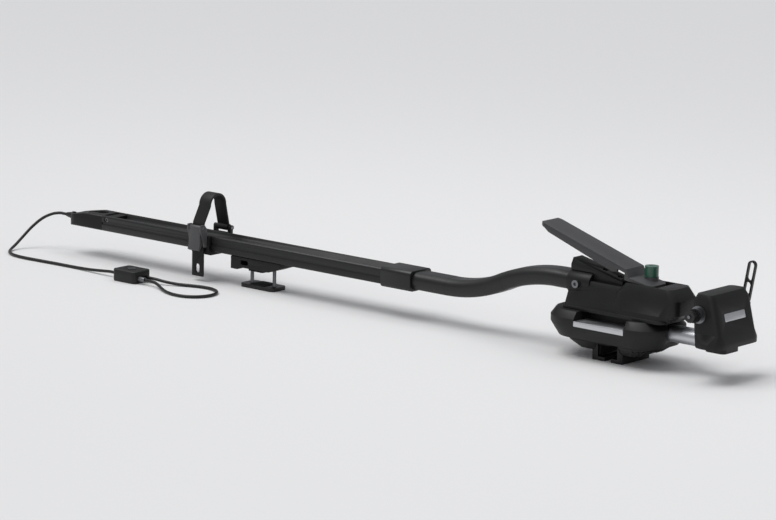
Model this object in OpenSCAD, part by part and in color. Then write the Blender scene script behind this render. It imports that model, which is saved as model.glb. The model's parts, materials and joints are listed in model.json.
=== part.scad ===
// Fork-mount carrier: tray rail, bent neck, clamp head, beam, axle block, strap and cable lock.
// Sizes are in millimetres. +X runs to the front, +Y to the left and +Z up.
// The origin is the middle of the front seat, on the face that rests on its support.

/* [Rail] */
// Width of the tray rail
rail_w = 46; // [42:1:54]
// Height of the tray rail
rail_h = 26; // [24:1:32]
// Height of the rail's underside above the seats
rail_z = 20; // [17:1:26]
// Length of the rail from its end cap to the joint
rail_len = 640; // [600:5:760]
// Radius of the rail's outer edges
rail_edge_r = 4; // [2:0.5:5]
// Width of each lip beside the trough
lip_w = 4.5; // [3:0.5:6]
// Width of the trough's floor
trough_floor_w = 22; // [16:1:26]
// Thickness of the web between the trough and the slot
rail_web = 3.5; // [2.5:0.5:5]
// Width of the slot's mouth below the rail
slot_mouth_w = 9; // [8:0.5:11]
// Depth of the slot's mouth
slot_mouth_d = 3; // [2:0.5:4]
// Width of the slot inside
slot_w = 18; // [16:0.5:22]
// Height of the slot inside
slot_h = 6.5; // [6:0.5:8]
// Width of the groove along each side of the rail
groove_w = 4; // [2:0.5:6]
// Depth of the groove along each side of the rail
groove_d = 1.2; // [0.5:0.1:1.5]
// Length of the rear end cap
cap_len = 86; // [80:1:110]
// Height of the end cap at its tip
cap_tip_h = 18; // [16:1:22]
// Length of the tongue by which the cap sits in the trough
cap_tongue = 20; // [16:1:30]
// Length of the oval recess in the end cap
recess_len = 42; // [30:1:48]
// Width of the oval recess in the end cap
recess_w = 18; // [12:1:22]
// Depth of the oval recess in the end cap
recess_d = 7; // [4:0.5:9]
// Length of the sleeve over the joint
sleeve_len = 60; // [52:1:70]
// Wall of the sleeve over the joint
sleeve_wall = 3; // [2:0.5:5]

/* [Neck] */
// Width of the neck
neck_w = 44; // [40:1:48]
// Height of the neck's section
neck_h = 28; // [26:1:29]
// Wall of the neck
neck_wall = 2.5; // [1.5:0.5:4]
// Radius of the neck's edges
neck_edge_r = 12.5; // [10:0.5:12.5]
// Rise of the neck's double bend
neck_rise = 46; // [44:1:48]
// Length of the neck's double bend
neck_run = 210; // [190:5:230]
// Straight part in the middle of the double bend
bend_link = 8; // [4:1:20]
// Straight part of the neck behind the bend
neck_lead = 94; // [70:1:110]
// Straight part of the neck between the bend and the head
neck_straight = 30; // [20:5:50]
// Depth of the neck's socket in the head
neck_socket = 38; // [30:1:42]

/* [Clamp base] */
// Width of the throat between the claws
throat_w = 32; // [28:1:36]
// Height of the throat below the seat
throat_h = 22; // [20:1:30]
// Thickness of the rubber seat
pad_t = 2; // [1.5:0.5:4]
// Length of the base
base_len = 194; // [186:1:210]
// Length of the base's tail behind its rear end
base_tail = 14; // [8:1:18]
// Width of the base
base_w = 120; // [112:1:130]
// Height of the base above its rubber seat
base_h = 30; // [28:1:34]
// Rise of the base's two ends above its window
end_rise = 11; // [9:1:13]
// Radius of the base's corners in plan
base_corner_r = 45; // [30:1:50]
// Length of the bare plate
plate_len = 92; // [90:1:104]
// Thickness of the bare plate
plate_t = 8; // [6:0.5:9]
// Step from the base's top down to the plate's top
plate_step = 2; // [1:0.5:3]
// Width of the claws at their toes
claw_w = 68; // [50:1:76]
// Thickness of a claw's upright
claw_web = 10; // [8:0.5:12]
// Thickness of a claw's toe
toe_t = 6; // [5:0.5:9]
// Length of a claw's toe below the throat
toe_len = 13; // [10:0.5:14]
// Depth of a claw's bow below the seat
bow_d = 13; // [11:1:18]
// Thickness of the rubber on a claw
claw_pad_t = 1.7; // [1:0.1:2.5]
// Diameter of the plate's screws
plate_screw_d = 5; // [4:0.5:6]

/* [Head] */
// Distance of the head's rear end behind the seat's middle
head_rear = 86; // [80:1:92]
// Distance of the nose ahead of the seat's middle
head_front = 118; // [112:1:124]
// Width of the head at its foot
head_w = 72; // [68:1:80]
// Height of the head's shoulders above the base
shoulder_h = 54; // [52:1:58]
// Height of the nose above the base
nose_h = 62; // [60:1:66]
// Width of the skirt round the head's foot
skirt_w = 82; // [80:1:92]
// Thickness of the skirt above the base's ends
skirt_t = 4; // [2.5:0.5:6]
// Width of the raised cover
cover_w = 32; // [24:1:34]
// Height of the raised cover at its rear end
cover_h = 29; // [24:1:30]
// Height of the raised cover at its front end
cover_front_h = 5; // [3:0.5:6]
// Diameter of the cross bolt that holds the neck
neck_bolt_d = 6; // [5:0.5:8]

/* [Clamp lever] */
// Distance of the lever's pin ahead of the seat's middle
pivot_x = 40; // [38:0.5:42]
// Height of the lever's pin above the base
pivot_h = 52; // [50:0.5:54]
// Diameter of the lever's pin
pin_d = 8; // [6:0.5:9]
// Width of the lever
lever_w = 45; // [44:0.5:46]
// Thickness of the lever's blade
lever_t = 6; // [4:0.5:6.5]
// Length of the lever's blade behind its step
lever_len = 168; // [150:1:190]
// Slope of the lever's blade
lever_slope = 17.5; // [15:0.5:22]
// Distance of the knee behind the pin
knee_back = 14; // [12:0.5:17]
// Height of the knee above the pin
knee_up = 17; // [16:0.5:20]
// Distance of the blade's step behind the knee
step_back = 6; // [5:0.5:8]
// Height of the blade's step above the knee
step_up = 12; // [10:0.5:13]
// Length of the lever's root ahead of the pin
root_len = 26; // [22:0.5:27]
// Height of the root's front edge above the pin
root_up = 9; // [8:0.5:11]
// Depth of the ribs below the lever's edges
rib_d = 9; // [5:0.5:10]
// Thickness of the ribs below the lever's edges
rib_t = 4; // [3:0.5:4.5]
// Radius of the lever's cam
cam_r = 10; // [9:0.5:11]
// Offset of the cam from the pin
cam_offset = 4; // [3:0.5:4.5]
// Width of the cam
cam_w = 26; // [20:1:26]
// Diameter of the draw bolts
bolt_d = 6; // [5:0.5:7]
// Distance of each draw bolt from the middle
bolt_y = 18; // [17.5:0.1:18.3]
// Radius of the eyes on the draw bolts
eye_r = 7.5; // [6.5:0.1:7.8]
// Diameter of the lock barrel
lock_d = 14; // [12:0.5:16]
// Diameter of the collar round the lock barrel
lock_collar_d = 22; // [20:0.5:22]
// Distance of the lock barrel from the middle
lock_y = 11.5; // [9:0.5:11.5]

/* [Axle block] */
// Distance of the axle ahead of the seat's middle
axle_x = 172; // [168:1:182]
// Height of the axle above the seats
axle_z = 72; // [70:1:78]
// Distance across the two clamping faces
face_w = 100; // [96:1:104]
// Thickness of the steel clamping faces
washer_t = 2; // [1:0.5:3]
// Diameter of the hollow axle
axle_d = 9; // [8.5:0.5:12]
// Length of each axle end beyond its clamping face
axle_stub = 4.5; // [3:0.5:6]
// Clamping gap on each side
clamp_gap = 8.5; // [7:0.5:11]
// Diameter of the skewer
rod_d = 5; // [4:0.5:6]
// Height of the block's top above the axle
block_up = 30; // [26:1:34]
// Flare of the block's foot on each side
block_flare = 10; // [4:1:14]
// Height of the block's underside above the seats
block_z = 12; // [9:0.5:12]
// Width of the beam
beam_w = 32; // [28:1:33]
// Height of the beam's section
beam_h = 24; // [20:1:26]
// Wall of the beam
beam_wall = 2.5; // [2:0.5:4]
// Height of the beam's middle above the seats
beam_z = 25; // [23:0.5:26]
// Length of the loop lever on the skewer
loop_len = 66; // [50:1:74]
// Width of the loop lever
loop_w = 14; // [12:0.5:16]
// Thickness of the loop lever
loop_t = 5; // [4:0.5:6]
// Forward lean of the loop lever
loop_lean = 10; // [0:1:15]
// Width of the bare plate on the block's front
name_w = 52; // [40:1:70]
// Height of the bare plate on the block's front
name_h = 12; // [9:1:20]

/* [Rear bracket] */
// Distance between the middles of the two seats
seat_spacing = 718; // [690:1:740]
// Length of the rear bracket
bracket_len = 105; // [96:1:116]
// Width of the rear bracket
bracket_w = 42; // [36:1:46]
// Thickness of the rear bracket's rubber seat
rear_pad_t = 3; // [2:0.5:4]
// Diameter of the rear bolts
rear_bolt_d = 6; // [5:0.5:8]
// Distance of each rear bolt from the throat's middle
rear_bolt_x = 24; // [23:0.5:27]

/* [Wheel strap] */
// Distance of the strap behind the front seat's middle
strap_back = 831; // [822:1:860]
// Width of the strap
strap_w = 24; // [18:1:26]
// Thickness of the strap
strap_t = 3.5; // [2.5:0.5:4]
// Outer radius of the strap's arch
arch_r = 20; // [18:0.5:22]
// Height of the strap's top above the rail
strap_up = 67; // [60:1:80]
// Height of the strap's hanging end above the floor of the throats
tail_up = 8; // [5:0.5:12]
// Length of the saddle that carries the strap
saddle_len = 38; // [36:1:44]
// Wall of the saddle
saddle_wall = 5.7; // [4:0.1:7]
// Diameter of the strap's pins
strap_pin_d = 5; // [4:0.5:5.5]

/* [Cable lock] */
// Diameter of the cable
cable_d = 5; // [4:0.5:6]
// Length of the lock's case
lock_len = 50; // [44:1:56]
// Width of the lock's case
lock_w = 40; // [34:1:44]
// Height of the lock's case
lock_h = 20; // [18:0.5:24]
// Diameter of the barrel in the lock's case
barrel_d = 14; // [10:0.5:16]

/* [Clearances] */
// Gap beside a piece that slides
slide_gap = 0.3; // [0.2:0.05:0.4]
// Gap round a fixed piece in its seat
seat_gap = 0.15; // [0.05:0.05:0.3]
// Radial gap of a turning pin
run_gap = 0.05; // [0.02:0.01:0.1]

/* [Hidden] */
$fn = 64;
hull_fn = 32;
eps = 0.01;
cut = 1;

// Heights of the base, the floor under the claws and the rail
base_top = pad_t + base_h;
toe_top = -(throat_h + 1);
floor_z = toe_top - toe_t;
plate_top = base_top - plate_step;
plate_bottom = plate_top - plate_t;
rail_top = rail_z + rail_h;
rail_mid = rail_z + rail_h / 2;
trough_z = rail_z + slot_mouth_d + slot_h + rail_web;
trough_top_w = rail_w - 2 * lip_w;

// Places along the carrier, from the head to the rear end
head_rear_x = -head_rear;
bend_front_x = head_rear_x - neck_straight;
bend_rear_x = bend_front_x - neck_run;
rail_front_x = bend_rear_x - neck_lead;
rail_rear_x = rail_front_x - rail_len;
cap_rear_x = rail_rear_x - cap_len;

// The neck's double bend is two equal arcs with a short straight link between them
bend_angle = 2 * atan(neck_rise / (neck_run + bend_link));
bend_r = (neck_run - bend_link * cos(bend_angle)) / (2 * sin(bend_angle));
bend_thin = 0.15;
bend_lap = 1;
link_x = bend_rear_x + bend_r * sin(bend_angle);
link_z = rail_mid + bend_r * (1 - cos(bend_angle));
neck_low_z = rail_mid;
neck_high_z = rail_mid + neck_rise;
socket_half = neck_w / 2 + 5;
neck_bolt_head = 4;

// Claws and draw bolts
claw_face_x = throat_w / 2 + slide_gap + claw_pad_t;
bow_top = pad_t - 0.5;
tongue_neck_w = 24;
tongue_head_w = 36;
tongue_neck_z = bow_top + 3.5;
tongue_top = tongue_neck_z + 4.4;
tongue_front = claw_face_x + 7;
tongue_len = 41;
rear_claw_travel = 30;
nut_h = 6;

// Clamp lever
pivot_z = base_top + pivot_h;
knee = [pivot_x - knee_back, pivot_z + knee_up];
step = knee + [-step_back, step_up];
tip = step + lever_len * [-cos(lever_slope), sin(lever_slope)];
blade_down = lever_t * [-sin(lever_slope), -cos(lever_slope)];
root_front = [pivot_x + root_len, pivot_z + root_up];
cam_block_top = pivot_z - cam_offset - cam_r - 1.2;
cam_block_len = 22;
cam_block_sink = 4;
eye_t = 8;
lock_x = pivot_x + 3;
lock_base_z = pivot_z + 9;
lock_collar_top = pivot_z + 17;
lock_cap_h = 16;
lock_top = lock_collar_top + slide_gap + lock_cap_h;

// Slot round the lever's root, clear of the root and the lock as they swing
slot_clear = 3;
root_sweep = norm([root_len, root_up]);
lock_sweep = norm([lock_x + lock_collar_d / 2 - pivot_x, lock_top - pivot_z]);
slot_floor = pivot_z - root_len - 4;
slot_rear_x = pivot_x - 18;
slot_front_x = pivot_x + max(root_sweep, lock_sweep) + slot_clear;
slot_half = lever_w / 2 + 1;
slot_high = pivot_z + 60;

// Ends of the base, the head's waist between them and the hood over the neck's socket
end_top = base_top + end_rise;
waist_half = bolt_y + 8;
hood_top = neck_high_z + neck_h / 2 + 4;
hood_front_x = head_rear_x + neck_socket + 4;
plate_screw_in = 16;

// Beam, block and skewer
beam_rear_x = plate_len / 2 + 7;
block_top = axle_z + block_up;
block_rear_x = axle_x - 14;
block_foot_front_x = axle_x + 42;
block_front_x = axle_x + 22;
block_waist = 28;
block_toe = 15;
block_foot_r = 22;
block_foot_z = block_z + 12;
beam_front_x = axle_x + 22;
half_face = face_w / 2;
cup_y = half_face + clamp_gap;
cup_t = 5;
loop_cam_r = 5.2;
loop_cam_offset = 1;
loop_wall = 2.5;
loop_root = 14;
loop_bar = 2.5;
loop_bar_z = loop_len / 2;
loop_y = cup_y + cup_t + loop_cam_r + loop_cam_offset + 0.45;
nut_t = 13;
name_lean = 15;

// Rear bracket
rear_x = -seat_spacing;
bracket_top = rail_z - slide_gap;
rear_plate_t = toe_t;
slot_nut_h = slot_h - 2 * slide_gap;
slot_nut_z = rail_z + slot_mouth_d + slide_gap;

// Strap and buckle
strap_x = -strap_back;
strap_top = rail_top + strap_up;
arch_z = strap_top - arch_r;
saddle_in = rail_w / 2 + slide_gap;
saddle_out = saddle_in + saddle_wall;
anchor_y = saddle_in + 4;
anchor_z = rail_top + 7;
anchor_r = strap_pin_d / 2 + 3;
buckle_back_t = 2.5;
strap_in_y = saddle_out + buckle_back_t + slide_gap;
strap_mid_y = strap_in_y + strap_t / 2;
buckle_pin_y = strap_in_y + strap_t + 4.2;
buckle_pin_z = rail_top + 14;
cheek_t = 3;
cheek_in = strap_w / 2 + slide_gap;
tail_z = floor_z + tail_up;

// Cable lock
gland_z = rail_z + 11;
gland_len = 18;
gland_x = cap_rear_x - gland_len;
cable_z = floor_z + cable_d / 2 + 0.2;
lock_x0 = gland_x + 234;
lock_x1 = lock_x0 + lock_len;
lock_y0 = -112;
lock_entry_z = floor_z + 8;
loop_side = 9;
ferrule_len = 14;
loop_end_x = lock_x1 + ferrule_len;
// Cable points: distance from the gland, side, and share of the way from the floor up to the gland
cable_points = [
    [0, 0, 1], [-8, 0, 1], [-17, -1, 1], [-30, -6, 0.95], [-43, -16, 0.81], [-53, -30, 0.57],
    [-58, -46, 0.31], [-58, -63, 0.11], [-53, -79, 0.02], [-42, -94, 0], [-27, -105, 0], [-9, -111, 0],
    [14, -113, 0], [44, -112, 0], [84, -110, 0], [124, -109, 0], [160, -110, 0.02], [188, -111.5, 0.06]];
cable_route = concat(
    [for (p = cable_points) [gland_x + p[0], p[1], cable_z + p[2] * (gland_z - cable_z)]],
    [[lock_x0 - 24, lock_y0, lock_entry_z], [lock_x0 - 12, lock_y0, lock_entry_z], [lock_x0, lock_y0, lock_entry_z]]);
// Loop points: distance ahead of the lock's case, side, and share of the way from the floor up to the case
loop_points = [
    [10, 9, 1], [21, 9.5, 0.95], [38, 14, 0.5], [57, 22, 0.1], [78, 31, 0], [99, 37, 0], [120, 36, 0],
    [138, 27, 0], [149, 11, 0], [151, -8, 0], [143, -26, 0], [127, -37, 0], [107, -39, 0], [87, -34, 0],
    [68, -25, 0.1], [52, -16.5, 0.5], [38, -11, 0.9]];
loop_route = concat(
    [[lock_x1, lock_y0 + loop_side, lock_entry_z]],
    [for (p = loop_points) [lock_x1 + p[0], lock_y0 + p[1], cable_z + p[2] * (lock_entry_z - cable_z)]],
    [[loop_end_x + 12, lock_y0 - loop_side - 0.2, lock_entry_z],
    [loop_end_x + 6, lock_y0 - loop_side, lock_entry_z], [loop_end_x, lock_y0 - loop_side, lock_entry_z]]);
cable_sides = 10;
cable_steps = 2;

// Box between two corners
module box(x, y, z) {
    translate([x[0], y[0], z[0]])
        cube([x[1] - x[0], y[1] - y[0], z[1] - z[0]]);
}

// Rectangle with round corners, centred
module rounded_rect(w, h, r) {
    square([w - 2 * r, h], center = true);
    square([w, h - 2 * r], center = true);
    for (sx = [-1, 1], sy = [-1, 1])
        translate([sx * (w / 2 - r), sy * (h / 2 - r)])
            circle(r);
}

// Extrudes an outline in Y and Z along X
module along_x(x0, x1) {
    translate([x0, 0, 0])
        rotate([90, 0, 90])
            linear_extrude(x1 - x0)
                children();
}

// Extrudes an outline in X and Z along Y
module along_y(y0, y1) {
    translate([0, y1, 0])
        rotate([90, 0, 0])
            linear_extrude(y1 - y0)
                children();
}

// Round bars along each axis
module bar_x(x0, x1, y, z, d) {
    translate([x0, y, z])
        rotate([0, 90, 0])
            cylinder(d = d, h = x1 - x0);
}

module bar_y(y0, y1, x, z, d) {
    translate([x, y1, z])
        rotate([90, 0, 0])
            cylinder(d = d, h = y1 - y0);
}

module bar_z(z0, z1, x, y, d) {
    translate([x, y, z0])
        cylinder(d = d, h = z1 - z0);
}

// Flat slab with round corners in plan, even about the middle plane
module slab(x, half_w, z, r) {
    translate([(x[0] + x[1]) / 2, 0, z[0]])
        linear_extrude(z[1] - z[0])
            rounded_rect(x[1] - x[0], 2 * half_w, r);
}

// Slab for a hull, with fewer sides on its corners
module hull_slab(x, half_w, z, r) {
    slab(x, half_w, z, r, $fn = hull_fn);
}

// Section of the tray rail, in Y and Z
module rail_section() {
    difference() {
        translate([0, rail_mid])
            rounded_rect(rail_w, rail_h, rail_edge_r);
        trough_section(0);
        translate([-slot_mouth_w / 2, rail_z - cut])
            square([slot_mouth_w, slot_mouth_d + 2 * cut]);
        translate([-slot_w / 2, rail_z + slot_mouth_d])
            square([slot_w, slot_h]);
        for (s = [-1, 1])
            translate([s * rail_w / 2, rail_mid])
                square([2 * groove_d, groove_w], center = true);
    }
}

// Outline of the trough, or of a piece that lies in it with a gap
module trough_section(gap) {
    rise = rail_h - (trough_z - rail_z);
    grow = (trough_top_w - trough_floor_w) / 2 / rise;
    polygon([
        [-trough_floor_w / 2 + gap, trough_z + gap],
        [trough_floor_w / 2 - gap, trough_z + gap],
        [trough_floor_w / 2 - gap + grow * (rise + cut), rail_top + cut],
        [-trough_floor_w / 2 + gap - grow * (rise + cut), rail_top + cut]]);
}

module tray_rail() {
    color([0.16, 0.16, 0.17])
        difference() {
            along_x(rail_rear_x, rail_front_x)
                rail_section();
            for (s = [0, 1])
                mirror([0, s, 0])
                    cap_screw(seat_gap);
        }
}

// Countersunk screw through the rail's side into the cap's tongue
module cap_screw(gap) {
    x = rail_rear_x + cap_tongue / 2;
    z = (trough_z + rail_top) / 2;
    y = rail_w / 2 - groove_d - 0.5;
    bar_y(trough_floor_w / 4, y - 2.5 + eps, x, z, 4 + 2 * gap);
    translate([x, y - 2.5, z])
        rotate([-90, 0, 0])
            cylinder(d1 = 4 + 2 * gap, d2 = 8 + 2 * gap, h = 2.5);
    bar_y(y - eps, y + (gap > 0 ? groove_d + cut : 0.5), x, z, 8 + 2 * gap);
}

module cap_screws() {
    color([0.55, 0.56, 0.58])
        for (s = [0, 1])
            mirror([0, s, 0])
                cap_screw(0);
}

module rail_end_cap() {
    half = rail_w / 2;
    round_x = cap_rear_x + half;
    color([0.13, 0.13, 0.14])
        difference() {
            union() {
                intersection() {
                    along_y(-half, half)
                        polygon([
                            [rail_rear_x, rail_z], [cap_rear_x + 6, rail_z], [cap_rear_x, rail_z + 5],
                            [cap_rear_x, rail_z + cap_tip_h - 6], [cap_rear_x + 8, rail_z + cap_tip_h],
                            [rail_rear_x - cap_len * 0.35, rail_top], [rail_rear_x, rail_top]]);
                    translate([0, 0, rail_z])
                        linear_extrude(rail_h) {
                            translate([round_x, -half])
                                square([rail_rear_x - round_x, rail_w]);
                            translate([round_x, 0])
                                circle(half);
                        }
                    along_x(cap_rear_x, rail_rear_x)
                        translate([0, rail_mid])
                            rounded_rect(rail_w, rail_h, rail_edge_r);
                }
                intersection() {
                    along_x(rail_rear_x - eps, rail_rear_x + cap_tongue)
                        trough_section(seat_gap);
                    box([rail_rear_x - cut, rail_rear_x + cap_tongue], [-half, half], [rail_z, rail_top - 2]);
                }
            }
            translate([rail_rear_x - cap_len * 0.35, 0, rail_top - recess_d])
                linear_extrude(recess_d + cut)
                    rounded_rect(recess_len, recess_w, recess_w / 2 - eps);
            bar_x(cap_rear_x - cut, cap_rear_x + 22, 0, gland_z, 11);
            for (s = [0, 1])
                mirror([0, s, 0])
                    cap_screw(seat_gap);
        }
}

module neck_section(grow) {
    rounded_rect(neck_w + 2 * grow, neck_h + 2 * grow, neck_edge_r + grow);
}

// The neck's run at a given growth of its section; the bends are drawn in a little and lap into the straights
module neck_run_solid(grow, x0, x1) {
    along_x(x0, bend_rear_x + bend_lap)
        translate([0, neck_low_z])
            neck_section(grow);
    translate([bend_rear_x, 0, neck_low_z + bend_r])
        rotate([90, 0, 0])
            rotate([0, 0, 270])
                neck_arc(grow - bend_thin);
    translate([link_x, 0, link_z])
        rotate([0, -bend_angle, 0])
            along_x(-bend_lap, bend_link + bend_lap)
                neck_section(grow);
    translate([bend_front_x, 0, neck_high_z - bend_r])
        rotate([90, 0, 0])
            rotate([0, 0, 90])
                neck_arc(grow - bend_thin);
    along_x(bend_front_x - bend_lap, x1)
        translate([0, neck_high_z])
            neck_section(grow);
}

module neck_arc(grow) {
    rotate_extrude(angle = bend_angle, $fn = 256)
        translate([bend_r, 0])
            rotate(90)
                neck_section(grow);
}

module neck_tube() {
    x1 = head_rear_x + neck_socket;
    color([0.12, 0.12, 0.13])
        difference() {
            neck_run_solid(0, rail_front_x, x1);
            neck_run_solid(-neck_wall, rail_front_x - cut, x1 + cut);
            joint_screw(rail_front_x + sleeve_len / 4, seat_gap);
            bar_y(-neck_w, neck_w, head_rear_x + neck_socket / 2, neck_high_z, neck_bolt_d + 2 * seat_gap);
        }
}

// Screw that comes up through the sleeve
module joint_screw(x, gap) {
    bar_z(rail_z - sleeve_wall - seat_gap - 3, rail_z - sleeve_wall - seat_gap, x, 0, 9);
    bar_z(rail_z - sleeve_wall - seat_gap - eps, rail_z + slot_mouth_d + 4, x, 0, 5 + 2 * gap);
}

module joint_screws() {
    color([0.55, 0.56, 0.58])
        for (s = [-1, 1])
            joint_screw(rail_front_x + s * sleeve_len / 4, 0);
}

module joint_sleeve() {
    x0 = rail_front_x - sleeve_len / 2;
    x1 = rail_front_x + sleeve_len / 2;
    grow = seat_gap + sleeve_wall;
    color([0.1, 0.1, 0.105])
        difference() {
            along_x(x0, x1)
                translate([0, rail_mid])
                    rounded_rect(rail_w + 2 * grow, rail_h + 2 * grow, rail_edge_r + grow);
            along_x(x0 - cut, rail_front_x)
                translate([0, rail_mid])
                    rounded_rect(rail_w + 2 * seat_gap, rail_h + 2 * seat_gap, rail_edge_r + seat_gap);
            along_x(rail_front_x - eps, x1 + cut)
                translate([0, neck_low_z])
                    neck_section(seat_gap);
            for (s = [-1, 1])
                bar_z(rail_z - 2 * grow, rail_mid, rail_front_x + s * sleeve_len / 4, 0, 5 + 2 * seat_gap);
        }
}

// Housing of the clamp head, on top of the base
module head_body() {
    half = head_w / 2;
    foot = end_top;
    shoulder = base_top + shoulder_h;
    color([0.12, 0.12, 0.125])
        difference() {
            union() {
                slab([head_rear_x - 2, head_front - 16], skirt_w / 2, [foot, foot + skirt_t], 14);
                box([-plate_len / 2 + seat_gap, plate_len / 2 - seat_gap], [-waist_half, waist_half],
                    [plate_top, foot + eps]);
                along_x(head_rear_x, hood_front_x)
                    translate([0, neck_high_z])
                        rounded_rect(2 * socket_half, 2 * (hood_top - neck_high_z), neck_edge_r + 4);
                hull() {
                    hull_slab([head_rear_x, pivot_x], half, [foot, foot + 4], 10);
                    hull_slab([head_rear_x + 2, pivot_x], half - 5, [shoulder - 26, shoulder - 22], 10);
                    hull_slab([head_rear_x + 4, pivot_x - 14], half - 12, [shoulder - 2, shoulder], 8);
                }
                nose_form();
            }
            box([slot_rear_x, head_front + cut], [-head_w, head_w], [slot_floor, slot_high]);
            box([cam_block_x0() - seat_gap, cam_block_x0() + cam_block_len + seat_gap],
                [-cam_w / 2 - seat_gap, cam_w / 2 + seat_gap], [slot_floor - cam_block_sink, slot_floor + cut]);
            along_x(head_rear_x - 5, head_rear_x + neck_socket)
                translate([0, neck_high_z])
                    neck_section(seat_gap);
            along_x(beam_rear_x - seat_gap, head_front + cut)
                translate([0, beam_z])
                    beam_section(seat_gap);
            for (s = [-1, 1])
                bar_z(plate_top - cut, pivot_z, pivot_x, s * bolt_y, bolt_d + 2 * slide_gap);
            slab([-plate_len / 2 + 6, pivot_x - 24], waist_half - 6, [plate_top - cut, neck_high_z - neck_h / 2 - 6], 6);
            bar_y(-head_w, head_w, head_rear_x + neck_socket / 2, neck_high_z, neck_bolt_d + 2 * seat_gap);
            shoulder_cuts();
            for (x = cover_screw_x())
                bar_z(shoulder - 12, shoulder + cut, x, 0, 4 + 2 * seat_gap);
        }
}

function cam_block_x0() = pivot_x - 12;
function cover_screw_x() = [hood_front_x + 10, pivot_x - 46];

// Sloping cuts that leave the neck's socket standing above the shoulders
module shoulder_cuts() {
    x0 = head_rear_x - 6;
    x1 = pivot_x - 34;
    for (y = [[-head_w, -socket_half], [socket_half, head_w]])
        along_y(y[0], y[1])
            polygon([[x0, neck_high_z - neck_h / 2], [x1, base_top + shoulder_h - 7],
                [x1, slot_high], [x0, slot_high]]);
}

// Rounded nose round the lever's root, before the slot is cut in it
module nose_form() {
    half = head_w / 2;
    nose = base_top + nose_h;
    hull() {
        hull_slab([pivot_x - 36, head_front - 20], half, [end_top, end_top + 4], 12);
        hull_slab([pivot_x - 36, head_front], half - 5, [base_top + 24, base_top + 46], 14);
        hull_slab([pivot_x - 20, head_front - 12], half - 9, [nose - 2, nose], 12);
    }
}

// Two cheeks that close the sides of the lever's slot
module head_cheeks() {
    color([0.12, 0.12, 0.125])
        for (y = [[-head_w, -slot_half], [slot_half, head_w]])
            intersection() {
                nose_form();
                box([slot_rear_x + seat_gap, slot_front_x - seat_gap], y, [slot_floor, slot_high]);
            }
}

// Front wall of the head, ahead of the lever's slot
module head_nose() {
    color([0.12, 0.12, 0.125])
        intersection() {
            nose_form();
            box([slot_front_x, head_front + cut], [-head_w, head_w], [slot_floor, slot_high]);
        }
}

// Raised cover behind the lever's root
module head_cover() {
    z = base_top + shoulder_h;
    x1 = pivot_x - 30;
    color([0.11, 0.11, 0.115])
        difference() {
            intersection() {
                along_y(-cover_w / 2, cover_w / 2)
                    polygon([[head_rear_x, hood_top], [hood_front_x + seat_gap, hood_top], [hood_front_x + seat_gap, z],
                        [x1, z], [x1, z + cover_front_h], [head_rear_x + 14, z + cover_h - 4],
                        [head_rear_x, z + cover_h]]);
                along_x(head_rear_x, x1)
                    polygon([[-cover_w / 2, z], [cover_w / 2, z], [cover_w / 2, z + cover_h - 10],
                        [cover_w / 2 - 5, z + cover_h + eps], [5 - cover_w / 2, z + cover_h + eps],
                        [-cover_w / 2, z + cover_h - 10]]);
            }
            for (x = cover_screw_x()) {
                bar_z(z - cut, z + cover_h, x, 0, 4 + 2 * seat_gap);
                bar_z(z + 3, z + cover_h + cut, x, 0, 8 + 2 * seat_gap);
            }
        }
}

module cover_screws() {
    z = base_top + shoulder_h;
    color([0.45, 0.46, 0.48])
        for (x = cover_screw_x()) {
            bar_z(z - 10, z + 3 + eps, x, 0, 4);
            bar_z(z + 3, z + 6, x, 0, 8);
        }
}

// Cross bolt through the head and the neck
module neck_bolt() {
    x = head_rear_x + neck_socket / 2;
    end = socket_half + neck_bolt_head;
    color([0.4, 0.4, 0.42])
        difference() {
            union() {
                bar_y(-socket_half - eps, socket_half + eps, x, neck_high_z, neck_bolt_d);
                for (y = [[-end, -socket_half], [socket_half, end]])
                    bar_y(y[0], y[1], x, neck_high_z, 2 * neck_bolt_d);
            }
            translate([x, -end - eps, neck_high_z])
                rotate([-90, 0, 0])
                    cylinder(d = neck_bolt_d, h = 3, $fn = 6);
        }
}

// Boat-shaped base with its window, slots and bolt holes
module base_body() {
    half_l = base_len / 2;
    rear_x = -half_l - base_tail;
    half_w = base_w / 2;
    color([0.1, 0.1, 0.105])
        difference() {
            hull() {
                hull_slab([rear_x, half_l], half_w, [plate_bottom, base_top], base_corner_r);
                hull_slab([rear_x + 14, half_l - 10], half_w - 9, [pad_t, pad_t + 1], base_corner_r - 9);
                hull_slab([rear_x + 8, half_l - 14], half_w - 8, [end_top - 1, end_top], base_corner_r - 8);
            }
            box([-plate_len / 2, plate_len / 2], [-base_w, base_w], [plate_bottom, end_top + cut]);
            along_x(beam_rear_x - seat_gap, half_l + cut)
                translate([0, beam_z])
                    beam_section(seat_gap);
            tongue_slot();
            for (s = [-1, 1])
                bar_z(-cut, plate_bottom + cut, pivot_x, s * bolt_y, bolt_d + 2 * slide_gap);
            plate_screw_holes();
            for (x = beam_bolt_x())
                beam_bolt(x, seat_gap);
        }
}

// Slot below the base in which the rear claw slides
module tongue_slot() {
    x = [-base_len, 2 - claw_face_x];
    box(x, [-tongue_neck_w / 2 - slide_gap, tongue_neck_w / 2 + slide_gap], [-cut, tongue_neck_z]);
    box(x, [-tongue_head_w / 2 - slide_gap, tongue_head_w / 2 + slide_gap],
        [tongue_neck_z - slide_gap, tongue_top + slide_gap]);
}

module plate_screw_holes() {
    for (sx = [-1, 1], sy = [-1, 1])
        translate([sx * (plate_len / 2 - 10), sy * (base_w / 2 - plate_screw_in), 0])
            plate_screw(seat_gap);
}

module plate_screw(gap) {
    bar_z(pad_t - (gap > 0 ? cut : 0), pad_t + 3, 0, 0, 2 * plate_screw_d + 2 * gap);
    bar_z(pad_t + 3 - eps, plate_top - 2 + gap, 0, 0, plate_screw_d + 2 * gap);
}

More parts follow.
